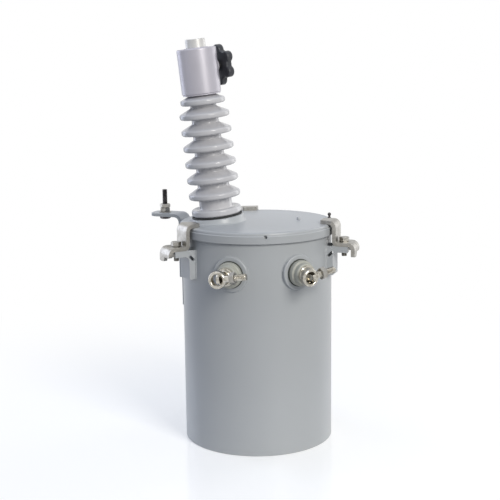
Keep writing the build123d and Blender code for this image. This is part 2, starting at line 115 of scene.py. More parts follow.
def on_bushing(height):
    """On the axis of the high-voltage bushing, at a height above the cover's sloped boss."""
    lean = sizes().bushing_lean
    axis = Vector((-math.sin(lean), 0, math.cos(lean)))
    foot = middle("bushing_gasket") - axis * sizes().gasket_thickness / 2
    return placed(foot + axis * height * MM, axis, (1, 0, 0))


def lv_azimuth(side):
    return azimuth_of(mounts[f"lv_terminal_{side}"]["axis"])


def sizes():
    return bpy.context.scene.transformer_sizes


def finishes():
    return bpy.context.scene.transformer_finishes


# Nodes


def linear(hex_colour):
    """An sRGB colour such as "#A0B0C0" as the linear red, green and blue that Blender works in."""
    shares = [int(hex_colour[i : i + 2], 16) / 255 for i in (1, 3, 5)]
    return tuple(s / 12.92 if s <= 0.04045 else ((s + 0.055) / 1.055) ** 2.4 for s in shares)


def spaced(millimetres):
    """The texture scale whose features are this many millimetres apart."""
    return 1.0 / (millimetres * MM)


def add(tree, kind, *inputs, **settings):
    """Adds a node; a kind in capitals is an operation of a maths node. Inputs come in order, or
    in a dict by name or number. Each is a value, a socket, or a node that gives its first output.
    """
    if kind.isupper():
        kind, settings = "ShaderNodeMath", {"operation": kind}
    node = tree.nodes.new(kind)
    for name, value in settings.items():
        setattr(node, name, value)
    named = {}
    for number, value in enumerate(inputs):
        named.update(value if isinstance(value, dict) else {number: value})
    for key, value in named.items():
        if isinstance(value, bpy.types.Node):
            value = value.outputs[0]
        if isinstance(value, bpy.types.NodeSocket):
            tree.links.new(value, node.inputs[key])
        else:
            node.inputs[key].default_value = value
    return node


def new_tree(name, inputs):
    """A geometry tree with a geometry in and out, a finish, and inputs with their defaults."""
    tree = bpy.data.node_groups.new(name, "GeometryNodeTree")
    new_socket = tree.interface.new_socket
    new_socket("Geometry", in_out="INPUT", socket_type="NodeSocketGeometry")
    new_socket("Geometry", in_out="OUTPUT", socket_type="NodeSocketGeometry")
    for label, default in inputs.items():
        kind = "NodeSocketInt" if isinstance(default, int) else "NodeSocketFloat"
        new_socket(label, in_out="INPUT", socket_type=kind).default_value = default
    new_socket("Finish", in_out="INPUT", socket_type="NodeSocketMaterial")
    return tree, tree.nodes.new("NodeGroupInput").outputs


def end_tree(tree, geometry, finish):
    """Ends a tree in Realize Instances and Set Material, which keeps all of it in the export."""
    real = add(tree, "GeometryNodeRealizeInstances", {"Geometry": geometry})
    coated = add(tree, "GeometryNodeSetMaterial", {"Geometry": real, "Material": finish})
    add(tree, "NodeGroupOutput", coated)


def sheet_of(tree, given, rows):
    """A sheet with a column for each segment, to be wrapped round the axis."""
    columns = add(tree, "ADD", given["Segments"], 1.0)
    sides = {"Size X": 1.0, "Size Y": 1.0, "Vertices X": columns, "Vertices Y": rows}
    return add(tree, "GeometryNodeMeshGrid", sides)


def end_wrapped(tree, given, sheet, radius, angle, height):
    """Moves a sheet's points to their radius, angle and height, and closes its seams."""
    cosine = add(tree, "COSINE", angle)
    sine = add(tree, "SINE", angle)
    x = add(tree, "MULTIPLY", radius, cosine)
    y = add(tree, "MULTIPLY", radius, sine)
    spot = add(tree, "ShaderNodeCombineXYZ", x, y, height)
    wrapped = add(tree, "GeometryNodeSetPosition", {"Geometry": sheet, "Position": spot})
    merged = add(tree, "GeometryNodeMergeByDistance", {"Geometry": wrapped, "Distance": 1e-6})
    end_tree(tree, merged, given["Finish"])


def turned_tree():
    """A profile of radius (x) and height (z) turned about Z, with a hexagon's flats if asked."""
    tree, given = new_tree(
        "Turned Piece", {"Segments": 48, "Corner Steps": 3, "Across Flats": NO_FLATS * MM}
    )
    line = add(tree, "GeometryNodeMeshToCurve", given["Geometry"])
    corner = add(tree, "GeometryNodeInputNamedAttribute", {"Name": "round"}, data_type="FLOAT")
    corners = {"Curve": line, "Radius": corner, "Count": given["Corner Steps"]}
    rounded = add(tree, "GeometryNodeFilletCurve", corners, {"Limit Radius": True}, mode="POLY")
    size = add(tree, "GeometryNodeAttributeDomainSize", rounded, component="CURVE")
    rows = size.outputs["Point Count"]
    sheet = sheet_of(tree, given, rows)
    # The grid counts up its rows first, so a point's row and column come from its index
    index = add(tree, "GeometryNodeInputIndex")
    row = add(tree, "MODULO", index, rows)
    share = add(tree, "DIVIDE", index, rows)
    column = add(tree, "FLOOR", share)
    turn = add(tree, "DIVIDE", column, given["Segments"])
    angle = add(tree, "MULTIPLY", turn, math.tau)
    place = add(tree, "GeometryNodeInputPosition")
    spots = {"Geometry": rounded, "Value": place, "Index": row}
    picked = add(tree, "GeometryNodeSampleIndex", spots, data_type="FLOAT_VECTOR")
    profile = add(tree, "ShaderNodeSeparateXYZ", picked)
    # A hexagon's edge is nearest to the axis in the middle of each sixth of a turn
    sixth = add(tree, "MODULO", angle, math.tau / 6)
    bearing = add(tree, "SUBTRACT", sixth, math.tau / 12)
    slant = add(tree, "COSINE", bearing)
    half = add(tree, "MULTIPLY", given["Across Flats"], 0.5)
    flat = add(tree, "DIVIDE", half, slant)
    radius = add(tree, "MINIMUM", profile.outputs["X"], flat)
    end_wrapped(tree, given, sheet, radius, angle, profile.outputs["Z"])


def shed_tree():
    """Moves the middle points of a profile into sheds, four points each, up a tapering core."""
    tree, given = new_tree(
        "Shed Profile",
        {
            "First Point": 4, "Sheds": 6, "First Height": 0.0383, "Pitch": 0.0285,
            "Core Low": 0.0305, "Core High": 0.0225, "Core Height": 0.2143, "Rim Low": 0.0463,
            "Rim High": 0.0443, "Rim Edge": 0.0095, "Slope Rise": 0.015, "Underside Drop": 0.004,
            "Rim Round": 0.004, "Root Round": 0.0032,
        },
    )
    index = add(tree, "GeometryNodeInputIndex")
    order = add(tree, "SUBTRACT", index, given["First Point"])
    quarter = add(tree, "DIVIDE", order, 4.0)
    shed = add(tree, "FLOOR", quarter)
    corner = add(tree, "MODULO", order, 4.0)
    started = add(tree, "GREATER_THAN", order, -0.5)
    unfinished = add(tree, "LESS_THAN", shed, given["Sheds"])
    chosen = add(tree, "MULTIPLY", started, unfinished)
    # The four corners: the root below, the rim's lower and upper edge, and the root above
    below = add(tree, "MULTIPLY", given["Underside Drop"], -1.0)
    lower = add(tree, "MULTIPLY", given["Rim Edge"], -0.5)
    upper = add(tree, "MULTIPLY", given["Rim Edge"], 0.5)
    rise = add(tree, "GeometryNodeIndexSwitch", data_type="FLOAT")
    at_rim = add(tree, "GeometryNodeIndexSwitch", data_type="FLOAT")
    for switch in (rise, at_rim):
        switch.index_switch_items.new()
        switch.index_switch_items.new()
        tree.links.new(corner.outputs[0], switch.inputs["Index"])
    for number, source in enumerate((below.outputs[0], lower.outputs[0], upper.outputs[0])):
        tree.links.new(source, rise.inputs[number + 1])
    tree.links.new(given["Slope Rise"], rise.inputs[4])
    at_rim.inputs[2].default_value = 1.0
    at_rim.inputs[3].default_value = 1.0
    stacked = add(tree, "MULTIPLY", shed, given["Pitch"])
    lifted = add(tree, "ADD", stacked, given["First Height"])
    height = add(tree, "ADD", lifted, rise)
    up_core = add(tree, "ShaderNodeMapRange", {"Value": height, "From Max": given["Core Height"]})
    core = add(tree, "ShaderNodeMix", {0: up_core, 2: given["Core Low"], 3: given["Core High"]})
    last = add(tree, "SUBTRACT", given["Sheds"], 1.0)
    up_stack = add(tree, "DIVIDE", shed, last)
    rim = add(tree, "ShaderNodeMix", {0: up_stack, 2: given["Rim Low"], 3: given["Rim High"]})
    radius = add(tree, "ShaderNodeMix", {0: at_rim, 2: core, 3: rim})
    rounds = {0: at_rim, 2: given["Root Round"], 3: given["Rim Round"]}
    rounding = add(tree, "ShaderNodeMix", rounds)
    marks = {"Geometry": given["Geometry"], "Selection": chosen, "Value": rounding}
    marked = add(tree, "GeometryNodeStoreNamedAttribute", marks, {"Name": "round"})
    point = add(tree, "ShaderNodeCombineXYZ", {"X": radius, "Z": height})
    moves = {"Geometry": marked, "Selection": chosen, "Position": point}
    shaped = add(tree, "GeometryNodeSetPosition", moves)
    end_tree(tree, shaped, given["Finish"])


def thread_tree():
    """A rolled thread along +Z: a sheet wrapped round, whose radius follows a slanted zigzag."""
    tree, given = new_tree(
        "Rolled Thread",
        {
            "Radius": 0.005, "Length": 0.03, "Pitch": 0.0015, "Depth": 0.0009,
            "Tip Chamfer": 0.001, "Segments": 28, "Rows Per Turn": 6,
        },
    )
    turns = add(tree, "DIVIDE", given["Length"], given["Pitch"])
    rows = add(tree, "MULTIPLY", turns, given["Rows Per Turn"])
    whole = add(tree, "CEIL", rows)
    sheet = sheet_of(tree, given, whole)
    place = add(tree, "GeometryNodeInputPosition")
    flat = add(tree, "ShaderNodeSeparateXYZ", place)
    turn = add(tree, "ADD", flat.outputs["X"], 0.5)
    share = add(tree, "ADD", flat.outputs["Y"], 0.5)
    height = add(tree, "MULTIPLY", share, given["Length"])
    wound = add(tree, "DIVIDE", height, given["Pitch"])
    phase = add(tree, "SUBTRACT", wound, turn)
    zigzag = add(tree, "PINGPONG", phase, 0.5)
    cut = add(tree, "MULTIPLY", zigzag, given["Depth"])
    groove = add(tree, "MULTIPLY", cut, 2.0)
    crest = add(tree, "SUBTRACT", given["Radius"], groove)
    # The tip is turned down to a chamfer, and the first and last rows close the ends on the axis
    left = add(tree, "SUBTRACT", given["Length"], height)
    point = add(tree, "SUBTRACT", given["Radius"], given["Tip Chamfer"])
    cone = add(tree, "ADD", point, left)
    trimmed = add(tree, "MINIMUM", crest, cone)
    outer = add(tree, "ABSOLUTE", flat.outputs["Y"])
    inside = add(tree, "LESS_THAN", outer, 0.49999)
    radius = add(tree, "MULTIPLY", trimmed, inside)
    angle = add(tree, "MULTIPLY", turn, math.tau)
    end_wrapped(tree, given, sheet, radius, angle, height)


def weld_tree():
    """A weld bead along a line: overlapping ripples, as the puddle froze step by step."""
    values = {"Width": 0.004, "Ripple": 0.0013, "Unevenness": 0.18, "Seed": 7}
    tree, given = new_tree("Weld Bead", values)
    line = add(tree, "GeometryNodeMeshToCurve", {"Mesh": given["Geometry"]})
    spread = {"Curve": line, "Length": given["Ripple"]}
    steps = add(tree, "GeometryNodeResampleCurve", spread, mode="LENGTH")
    tangent = add(tree, "GeometryNodeInputTangent")
    turn = add(tree, "FunctionNodeAlignRotationToVector", {"Vector": tangent}, axis="X")
    half = add(tree, "MULTIPLY", given["Width"], 0.5)
    drop = add(tree, "GeometryNodeMeshUVSphere", {"Segments": 8, "Rings": 5, "Radius": half})
    index = add(tree, "GeometryNodeInputIndex")
    number = add(tree, "ADD", index, given["Seed"])
    chance = add(tree, "ShaderNodeTexWhiteNoise", {"W": number}, noise_dimensions="1D")
    loss = add(tree, "MULTIPLY", chance.outputs["Value"], given["Unevenness"])
    size = add(tree, "SUBTRACT", 1.0, loss)
    short = add(tree, "MULTIPLY", size, 0.8)
    scale = add(tree, "ShaderNodeCombineXYZ", {"X": short, "Y": size, "Z": size})
    spots = {"Points": steps, "Instance": drop, "Rotation": turn, "Scale": scale}
    ripples = add(tree, "GeometryNodeInstanceOnPoints", spots)
    end_tree(tree, ripples, given["Finish"])


# Meshes


def link(name, mesh):
    piece = bpy.data.objects.new(name, mesh)
    bpy.context.scene.collection.objects.link(piece)
    return piece


def formed(work, name, finishes):
    """Ends a bmesh as the mesh of a new object, with its finishes."""
    mesh = bpy.data.meshes.new(name)
    work.to_mesh(mesh)
    work.free()
    for finish in finishes:
        mesh.materials.append(finish)
    return link(name, mesh)


def baked(piece):
    """Turns a piece with its modifiers into a plain mesh."""
    graph = bpy.context.evaluated_depsgraph_get()
    mesh = bpy.data.meshes.new_from_object(piece.evaluated_get(graph))
    piece.modifiers.clear()
    piece.data = mesh
    mesh.name = piece.name
    return piece


def grown(piece, finish, *trees):
    """Runs geometry trees on a piece in order. Each is a tree's name and its values."""
    for name, values in trees:
        tree = bpy.data.node_groups[name]
        modifier = piece.modifiers.new(name, "NODES")
        modifier.node_group = tree
        values = {**values, "Finish": bpy.data.materials[finish]}
        for socket in tree.interface.items_tree:
            if socket.in_out == "INPUT" and socket.name in values:
                modifier[socket.identifier] = values[socket.name]
    return baked(piece)


def line_mesh(name, points, closed=False, rounds=None):
    """A line through points as a mesh of edges only, with each corner's rounding."""
    count = len(points)
    edges = [(i, i + 1) for i in range(count - 1)] + ([(count - 1, 0)] if closed else [])
    mesh = bpy.data.meshes.new(name)
    mesh.from_pydata([Vector(p) * MM for p in points], edges, [])
    if rounds:
        corner = mesh.attributes.new("round", "FLOAT", "POINT")
        corner.data.foreach_set("value", [r * MM for r in rounds])
    return link(name, mesh)


def closed_outwards(piece):
    """Merges a piece's doubles and turns its faces outwards."""
    work = bmesh.new()
    work.from_mesh(piece.data)
    bmesh.ops.remove_doubles(work, verts=work.verts, dist=1e-6)
    bmesh.ops.dissolve_degenerate(work, edges=work.edges, dist=1e-7)
    bmesh.ops.recalc_face_normals(work, faces=work.faces)
    work.to_mesh(piece.data)
    work.free()
    return piece


def turned(name, profile, finish, flats=NO_FLATS, segments=48, steps=4, first=()):
    """A turned piece along +Z. profile lists radius, height and, if it has one, rounding. Trees
    named in first shape the profile before it is turned."""
    rounds = [p[2] if len(p) > 2 else 0.0 for p in profile]
    piece = line_mesh(name, [(p[0], 0, p[1]) for p in profile], rounds=rounds)
    values = {"Segments": segments, "Corner Steps": steps, "Across Flats": flats * MM}
    return closed_outwards(grown(piece, finish, *first, ("Turned Piece", values)))


def thread(name, radius, length, finish, pitch=None):
    """A threaded shank along +Z, its chamfered tip at the far end."""
    pitch = pitch or sizes().thread_pitch / MM
    values = {
        "Radius": radius * MM,
        "Length": length * MM,
        "Pitch": pitch * MM,
        "Depth": 0.6 * pitch * MM,
        "Tip Chamfer": 0.7 * pitch * MM,
    }
    piece = link(name, bpy.data.meshes.new(name))
    return closed_outwards(grown(piece, finish, ("Rolled Thread", values)))


def weld(points, closed=False, width=None):
    """A painted weld bead along points in millimetres, and the matrix that places it."""
    values = {"Width": width * MM if width else sizes().weld_width}
    line = line_mesh("bead", points, closed)
    return grown(line, "Baked Enamel", ("Weld Bead", values)), Matrix()


def hexagon(name, across_flats, height, finish, bore=0.0):
    """A hexagon head or nut along +Z, its corners turned off at 30 degrees at both ends."""
    corner = across_flats / 2 / math.cos(math.radians(30)) + 0.05
    face = 0.475 * across_flats
    slope = math.tan(math.radians(30))
    foot = [(face + (corner - face) * i / 5, (corner - face) * slope * i / 5) for i in range(6)]
    top = [(r, height - z) for r, z in reversed(foot)]
    if bore:
        lip = bore + 0.6
        foot = [(bore, height / 2), (bore, 0.6), (lip, 0), *foot]
        top += [(lip, height), (bore, height - 0.6), (bore, height / 2)]
    else:
        foot = [(0, 0), *foot]
        top += [(0, height)]
    return turned(name, foot + top, finish, flats=across_flats)


def ring(name, bore, radius, thickness, finish, rounding, segments=64):
    """A washer, gasket or forged eye along +Z with rounded edges."""
    profile = [
        (bore, thickness / 2), (bore, 0, rounding), (radius, 0, rounding),
        (radius, thickness, rounding), (bore, thickness, rounding), (bore, thickness / 2),
    ]
    return turned(name, profile, finish, segments=segments)


def assembled(name, parts):
    """Joins meshes, each with the matrix that places it, into one object at the origin."""
    work = bmesh.new()
    used = []
    for part, place in parts:
        part.data.transform(place)
        used += [finish for finish in part.data.materials if finish not in used]
        slots = [used.index(finish) for finish in part.data.materials] or [0]
        first = len(work.faces)
        work.from_mesh(part.data)
        work.faces.ensure_lookup_table()
        for face in work.faces[first:]:
            face.material_index = slots[min(face.material_index, len(slots) - 1)]
        bpy.data.objects.remove(part)
    return formed(work, name, used)


def softened(piece, width, segments=3, angle=40.0):
    """Rounds a piece's sharp edges, as shearing, pressing and blasting leave them."""
    bevel = piece.modifiers.new("Edge round", "BEVEL")
    bevel.width = width * MM
    bevel.segments = segments
    bevel.limit_method = "ANGLE"
    bevel.angle_limit = math.radians(angle)
    return baked(piece)


def cad_copy(node, finish):
    """A merged copy of a CAD node, its flat faces whole again."""
    mesh = frame["nodes"][node].data.copy()
    mesh.materials.clear()
    mesh.materials.append(bpy.data.materials[finish])
    work = bmesh.new()
    work.from_mesh(mesh)
    bmesh.ops.remove_doubles(work, verts=work.verts, dist=2e-6)
    bmesh.ops.dissolve_limit(
        work, angle_limit=math.radians(0.5), verts=work.verts, edges=work.edges
    )
    for face in work.faces:
        face.material_index = 0
    work.to_mesh(mesh)
    work.free()
    return link(f"{node}_finished", mesh)


def settled(piece, slot, *nodes, sharp=SHARP):
    """Shades a finished piece, hangs it under the body's empty, and hides the CAD nodes it stands
    for.
    """
    piece.data.shade_smooth()
    piece.data.set_sharp_from_angle(angle=sharp)
    weighted = piece.modifiers.new("Flat faces", "WEIGHTED_NORMAL")
    weighted.keep_sharp = True
    baked(piece)
    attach(piece, BODY)
    if nodes:
        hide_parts(*nodes)


def corner_arc(before, here, after, radius):
    """The centre, the start as seen from it, and the signed sweep of the arc at a corner."""
    back, ahead = (before - here).normalized(), (after - here).normalized()
    half = back.angle(ahead) / 2
    centre = here + (back + ahead).normalized() * radius / math.sin(half)
    start = here + back * radius / math.tan(half) - centre
    end = here + ahead * radius / math.tan(half) - centre
    return centre, start, start.angle_signed(end)


def rounded_outline(points, steps=5):
    """A closed outline whose points give their place and, third, their corner's rounding."""
    outline = []
    spots = [Vector(p[:2]) for p in points]
    for i, here in enumerate(spots):
        after = spots[(i + 1) % len(spots)]
        centre, start, sweep = corner_arc(spots[i - 1], here, after, points[i][2])
        for step in range(steps + 1):
            outline.append(centre + Matrix.Rotation(-sweep * step / steps, 2) @ start)
    return outline


def bend_line(points, radii, steps=8):
    """Stations along a line through points with rounded corners: distance, place, direction."""
    points = [Vector(p) for p in points]
    stations = [(0.0, points[0], (points[1] - points[0]).normalized())]
    for before, here, after, radius in zip(points, points[1:], points[2:], radii):
        centre, start, sweep = corner_arc(before, here, after, radius)
        distance = stations[-1][0] + (centre + start - stations[-1][1]).length
        for step in range(steps + 1):
            turn = Matrix.Rotation(-sweep * step / steps, 2)
            reached = distance + abs(sweep) * radius * step / steps
            direction = turn @ (here - before).normalized()
            stations.append((reached, centre + turn @ start, direction))
    tail = (points[-1] - stations[-1][1]).length
    stations.append((stations[-1][0] + tail, points[-1], stations[-1][2]))
    return stations


def bent_bar(name, finish, line, radii, thickness, outline, hole=None):
    """A flat blank, cut to its outline (distance along the bar, distance across), then bent
    along a line in the local x-z plane. Local y runs across the bar."""
    stations = bend_line(line, radii)
    work = bmesh.new()
    borders = []
    for border in [outline] + ([hole] if hole else []):
        verts = [work.verts.new((p[0], p[1], -thickness / 2)) for p in border]
        borders += [work.edges.new((verts[i - 1], verts[i])) for i in range(len(verts))]
    if hole:
        bmesh.ops.triangle_fill(work, edges=borders, use_beauty=True, normal=UP)
    else:
        work.faces.new(verts)
    blank = bmesh.ops.extrude_face_region(work, geom=work.faces[:])
    raised = [v for v in blank["geom"] if isinstance(v, bmesh.types.BMVert)]
    bmesh.ops.translate(work, verts=raised, vec=UP * thickness)
    for distance in [s[0] for s in stations[1:-1]]:
        bmesh.ops.bisect_plane(
            work,
            geom=work.verts[:] + work.edges[:] + work.faces[:],
            dist=1e-4,
            plane_co=(distance, 0, 0),
            plane_no=(1, 0, 0),
        )
    for vert in work.verts:
        along, across, above = vert.co
        low, high = stations[0], stations[1]
        for first, second in zip(stations, stations[1:]):
            if along >= first[0] - 1e-4 and second[0] > first[0] + 1e-6:
                low, high = first, second
        share = (along - low[0]) / (high[0] - low[0])
        spot = low[1].lerp(high[1], share)
        direction = low[2].lerp(high[2], min(max(share, 0), 1)).normalized()
        spot = spot + Vector((-direction.y, direction.x)) * above
        vert.co = Vector((spot.x, across, spot.y)) * MM
    bmesh.ops.recalc_face_normals(work, faces=work.faces)
    return formed(work, name, [bpy.data.materials[finish]])


def put(piece, place):
    """Moves a piece by the matrix that places it."""
    piece.data.transform(place)
    return piece


# Finishes


def new_material(name):
    material = bpy.data.materials.new(name)
    material.use_nodes = True
    tree = material.node_tree
    tree.nodes.clear()
    shader = add(tree, "ShaderNodeBsdfPrincipled")
    add(tree, "ShaderNodeOutputMaterial", {"Surface": shader})
    place = add(tree, "ShaderNodeTexCoord").outputs["Object"]
    return tree, shader, place


def drift(tree, place, spacing, detail, low, high, more=None):
    """A value that wanders between low and high, over features this many millimetres apart."""
    inputs = {"Vector": place, "Scale": spaced(spacing), "Detail": detail, **(more or {})}
    noise = add(tree, "ShaderNodeTexNoise", inputs)
    return add(tree, "ShaderNodeMapRange", {"Value": noise, "To Min": low, "To Max": high})


def completed(tree, shader, place, colour, gloss, grain):
    """Gives a finish its colour, its gloss and its grain: spacing, detail, strength and depth."""
    spacing, detail, strength, depth = grain
    bumps = {"Vector": place, "Scale": spaced(spacing), "Detail": detail}
    height = add(tree, "ShaderNodeTexNoise", bumps)
    relief = {"Strength": strength, "Distance": depth * MM, "Height": height}
    skin = add(tree, "ShaderNodeBump", relief)
    tree.links.new(colour, shader.inputs["Base Color"])
    tree.links.new(gloss.outputs[0], shader.inputs["Roughness"])
    tree.links.new(skin.outputs[0], shader.inputs["Normal"])


def shaded(tree, place, colour, *wander):
    """A colour that a drift darkens and lightens."""
    shade = {"Scale": drift(tree, place, *wander)}
    return add(tree, "ShaderNodeVectorMath", colour, shade, operation="SCALE").outputs[0]


def baked_enamel(name, colour):
    """Enamel sprayed and baked on sheet steel: an even satin skin with a faint orange peel."""
    tree, shader, place = new_material(name)
    # The coat is a little thicker here and thinner there, over a hand's width
    coat = shaded(tree, place, colour, 110, 3.0, 0.96, 1.03)
    # Handling and dust leave the gloss uneven in patches a fingertip wide
    gloss = drift(tree, place, 16, 5.0, 0.29, 0.37, {"Roughness": 0.65})
    # Sprayed paint flows into bumps a few millimetres apart, far shallower than they are wide
    completed(tree, shader, place, coat, gloss, (2.6, 1.0, 0.08, 0.03))


def glazed_porcelain(name, colour):
    """Grey glaze fired on wet-process porcelain: glassy, faintly clouded, with pinhead specks."""
    tree, shader, place = new_material(name)
    cloudy = shaded(tree, place, colour, 24, 3.0, 0.93, 1.04)
    # Iron in the clay shows through as specks; they are drawn coarser than the real ones to show
    speck = add(tree, "ShaderNodeTexVoronoi", {"Vector": place, "Scale": spaced(5.5)})
    spread = {"Value": speck.outputs["Distance"], "From Min": 0.03, "From Max": 0.08}
    clean = add(tree, "ShaderNodeMapRange", spread)
    iron = (*linear("#9A9892"), 1)
    body = add(tree, "ShaderNodeMix", {0: clean, 6: iron, 7: cloudy}, data_type="RGBA")
    # The glaze ran a little before it set, and left slow waves
    gloss = drift(tree, place, 24, 3.0, 0.1, 0.2)
    completed(tree, shader, place, body.outputs[2], gloss, (9, 1.0, 0.12, 0.15))
    shader.inputs["IOR"].default_value = 1.54


def painted_casting(name, colour):
    """Die-cast aluminium under thin silver-grey paint: a soft sheen over a fine cast grain."""
    tree, shader, place = new_material(name)
    coat = shaded(tree, place, colour, 28, 4.0, 0.94, 1.05)
    gloss = drift(tree, place, 1.3, 3.0, 0.3, 0.46)
    completed(tree, shader, place, coat, gloss, (1.3, 3.0, 0.16, 0.06))
    shader.inputs["Metallic"].default_value = 0.3


def moulded(name, colour, rough, grain_mm, marbling):
    """Resin or rubber pressed in a mould: the mould's fine grain, and marks where it flowed."""
    tree, shader, place = new_material(name)
    flow = {"Distortion": 1.5}
    body = shaded(tree, place, colour, 11, 4.0, 1 - marbling, 1 + marbling, flow)
    gloss = drift(tree, place, 11, 4.0, rough - 0.07, rough + 0.07, flow)
    completed(tree, shader, place, body, gloss, (grain_mm, 3.0, 0.18, 0.05))


def plated(name, colour, stain, rough, patch_mm):
    """Metal plating: its tint and gloss drift in patches, over the fine pitting of the blank."""
    tree, shader, place = new_material(name)
    patches = {"Vector": place, "Scale": spaced(patch_mm), "Detail": 4.0}
    patch = add(tree, "ShaderNodeTexNoise", patches)
    even = add(tree, "ShaderNodeMapRange", {"Value": patch, "From Min": 0.3, "From Max": 0.65})
    tints = {0: even, 6: (*stain, 1), 7: (*colour, 1)}
    tint = add(tree, "ShaderNodeMix", tints, data_type="RGBA")
    gloss = drift(tree, place, patch_mm, 4.0, rough + 0.1, rough - 0.06)
    completed(tree, shader, place, tint.outputs[2], gloss, (1.2, 2.0, 0.14, 0.06))
    shader.inputs["Metallic"].default_value = 1.0


def seen_directly(tree):
    """One for camera, mirror and see-through rays, and nothing for the light on a surface."""
    rays = add(tree, "ShaderNodeLightPath").outputs
    camera, mirror = rays["Is Camera Ray"], rays["Is Glossy Ray"]
    mirrored = add(tree, "MAXIMUM", camera, mirror)
    through = rays["Is Transmission Ray"]
    return add(tree, "MAXIMUM", mirrored, through)


def studio_acrylic(name, colour, reach):
    """White acrylic sheet: it keeps the shadow and a faint reflection, and is white far out."""
    tree, shader, place = new_material(name)
    shader.inputs["Base Color"].default_value = (*colour, 1)
    shader.inputs["Roughness"].default_value = 0.12
    shader.inputs["Specular IOR Level"].default_value = 0.5
    white = {"Color": (1, 1, 1, 1)}
    seen = seen_directly(tree)
    lift = add(tree, "MULTIPLY", seen, 0.3)
    glow = add(tree, "ShaderNodeEmission", {**white, "Strength": lift})
    lit = add(tree, "ShaderNodeAddShader", shader, glow)
    plain = add(tree, "ShaderNodeEmission", {**white, "Strength": seen})
    distance = add(tree, "ShaderNodeVectorMath", place, operation="LENGTH").outputs["Value"]
    fade = {"Value": distance, "From Min": 0.05 * reach, "From Max": 0.32 * reach}
    far = add(tree, "ShaderNodeMapRange", fade, interpolation_type="SMOOTHSTEP")
    mixed = add(tree, "ShaderNodeMixShader", far, lit, plain)
    tree.links.new(mixed.outputs[0], tree.get_output_node("ALL").inputs["Surface"])


# Settings


def length_setting(label, text, default):
    return bpy.props.FloatProperty(name=label, description=text, default=default, unit="LENGTH")


def colour_setting(label, text, hex_colour):
    return bpy.props.FloatVectorProperty(
        name=label, description=text, default=linear(hex_colour), subtype="COLOR"
    )


class TransformerSizes(bpy.types.PropertyGroup):
    """Sizes of what is dressed, in metres and radians. They repeat the frame's own sizes."""

    tank_radius: length_setting("Tank radius", "Outer radius of the tank", 0.135)
    tank_height: length_setting(
        "Tank height", "Height of the tank's rim above the floor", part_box("tank_shell")[1].z
    )
    cover_sheet: length_setting("Cover sheet", "Thickness of the pressed cover", 0.003)
    bushing_lean: bpy.props.FloatProperty(
        name="Bushing lean",
        description="How far the high-voltage bushing leans outwards",
        default=math.radians(6.2),
        subtype="ANGLE",
    )
    gasket_thickness: length_setting(
        "Bushing gasket", "Thickness of the gasket under the high-voltage bushing", 0.003
    )
    shed_count: bpy.props.IntProperty(
        name="Sheds", description="Full-size sheds on the porcelain", default=6, min=2
    )
    shed_pitch: length_setting("Shed pitch", "Height from one shed to the next", 0.0285)
    thread_pitch: length_setting("Thread pitch", "Pitch of the coarse thread on bolts", 0.0015)
    weld_width: length_setting("Weld width", "Width of the weld beads under the paint", 0.004)
    floor_reach: length_setting("Floor reach", "Radius of the studio floor", 3.5)


class TransformerFinishes(bpy.types.PropertyGroup):
    """Colours of the finishes, in linear light."""

    enamel: colour_setting("Tank enamel", "Paint on tank, cover, lugs and brackets", "#B5B8BA")
    glaze: colour_setting("Porcelain glaze", "Glaze on the high-voltage bushing", "#CFCED0")
    housing: colour_setting("Housing paint", "Paint on the cast terminal housing", "#BDBAC2")
    zinc: colour_setting("Zinc plate", "Plating of the straps, bolts and nuts", "#A6A49F")
    tin: colour_setting("Tin plate", "Plating of the low-voltage terminals", "#C6C2B9")
    resin: colour_setting("Insulator resin", "Resin of the low-voltage insulators", "#B2B2A8")


# Operators


class TRANSFORMER_OT_finishes(bpy.types.Operator):
    """Makes the materials and the geometry trees that the pieces use"""

    bl_idname = "transformer.finishes"
    bl_label = "Finishes and Trees"

    def execute(self, context):
        palette = finishes()
        baked_enamel("Baked Enamel", tuple(palette.enamel))
        glazed_porcelain("Glazed Porcelain", tuple(palette.glaze))
        painted_casting("Painted Aluminium Casting", tuple(palette.housing))
        painted_casting("Painted Steel Plug", linear("#D2D1CE"))
        moulded("Moulded Phenolic", linear("#303238"), 0.36, 0.8, 0.2)
        moulded("Moulded Nitrile Rubber", linear("#17181A"), 0.6, 0.7, 0.2)
        moulded("Moulded Neoprene", linear("#3A3E38"), 0.55, 0.7, 0.15)
        moulded("Cast Resin", tuple(palette.resin), 0.37, 1.1, 0.06)
        plated("Tinned Brass", tuple(palette.tin), linear("#9A958A"), 0.16, 5)
        plated("Zinc-plated Steel", tuple(palette.zinc), linear("#8F8C87"), 0.35, 8)
        plated("Weathered Steel", linear("#5C5A5C"), linear("#3A3634"), 0.4, 6)
        turned_tree()
        shed_tree()
        thread_tree()
        weld_tree()
        return {"FINISHED"}


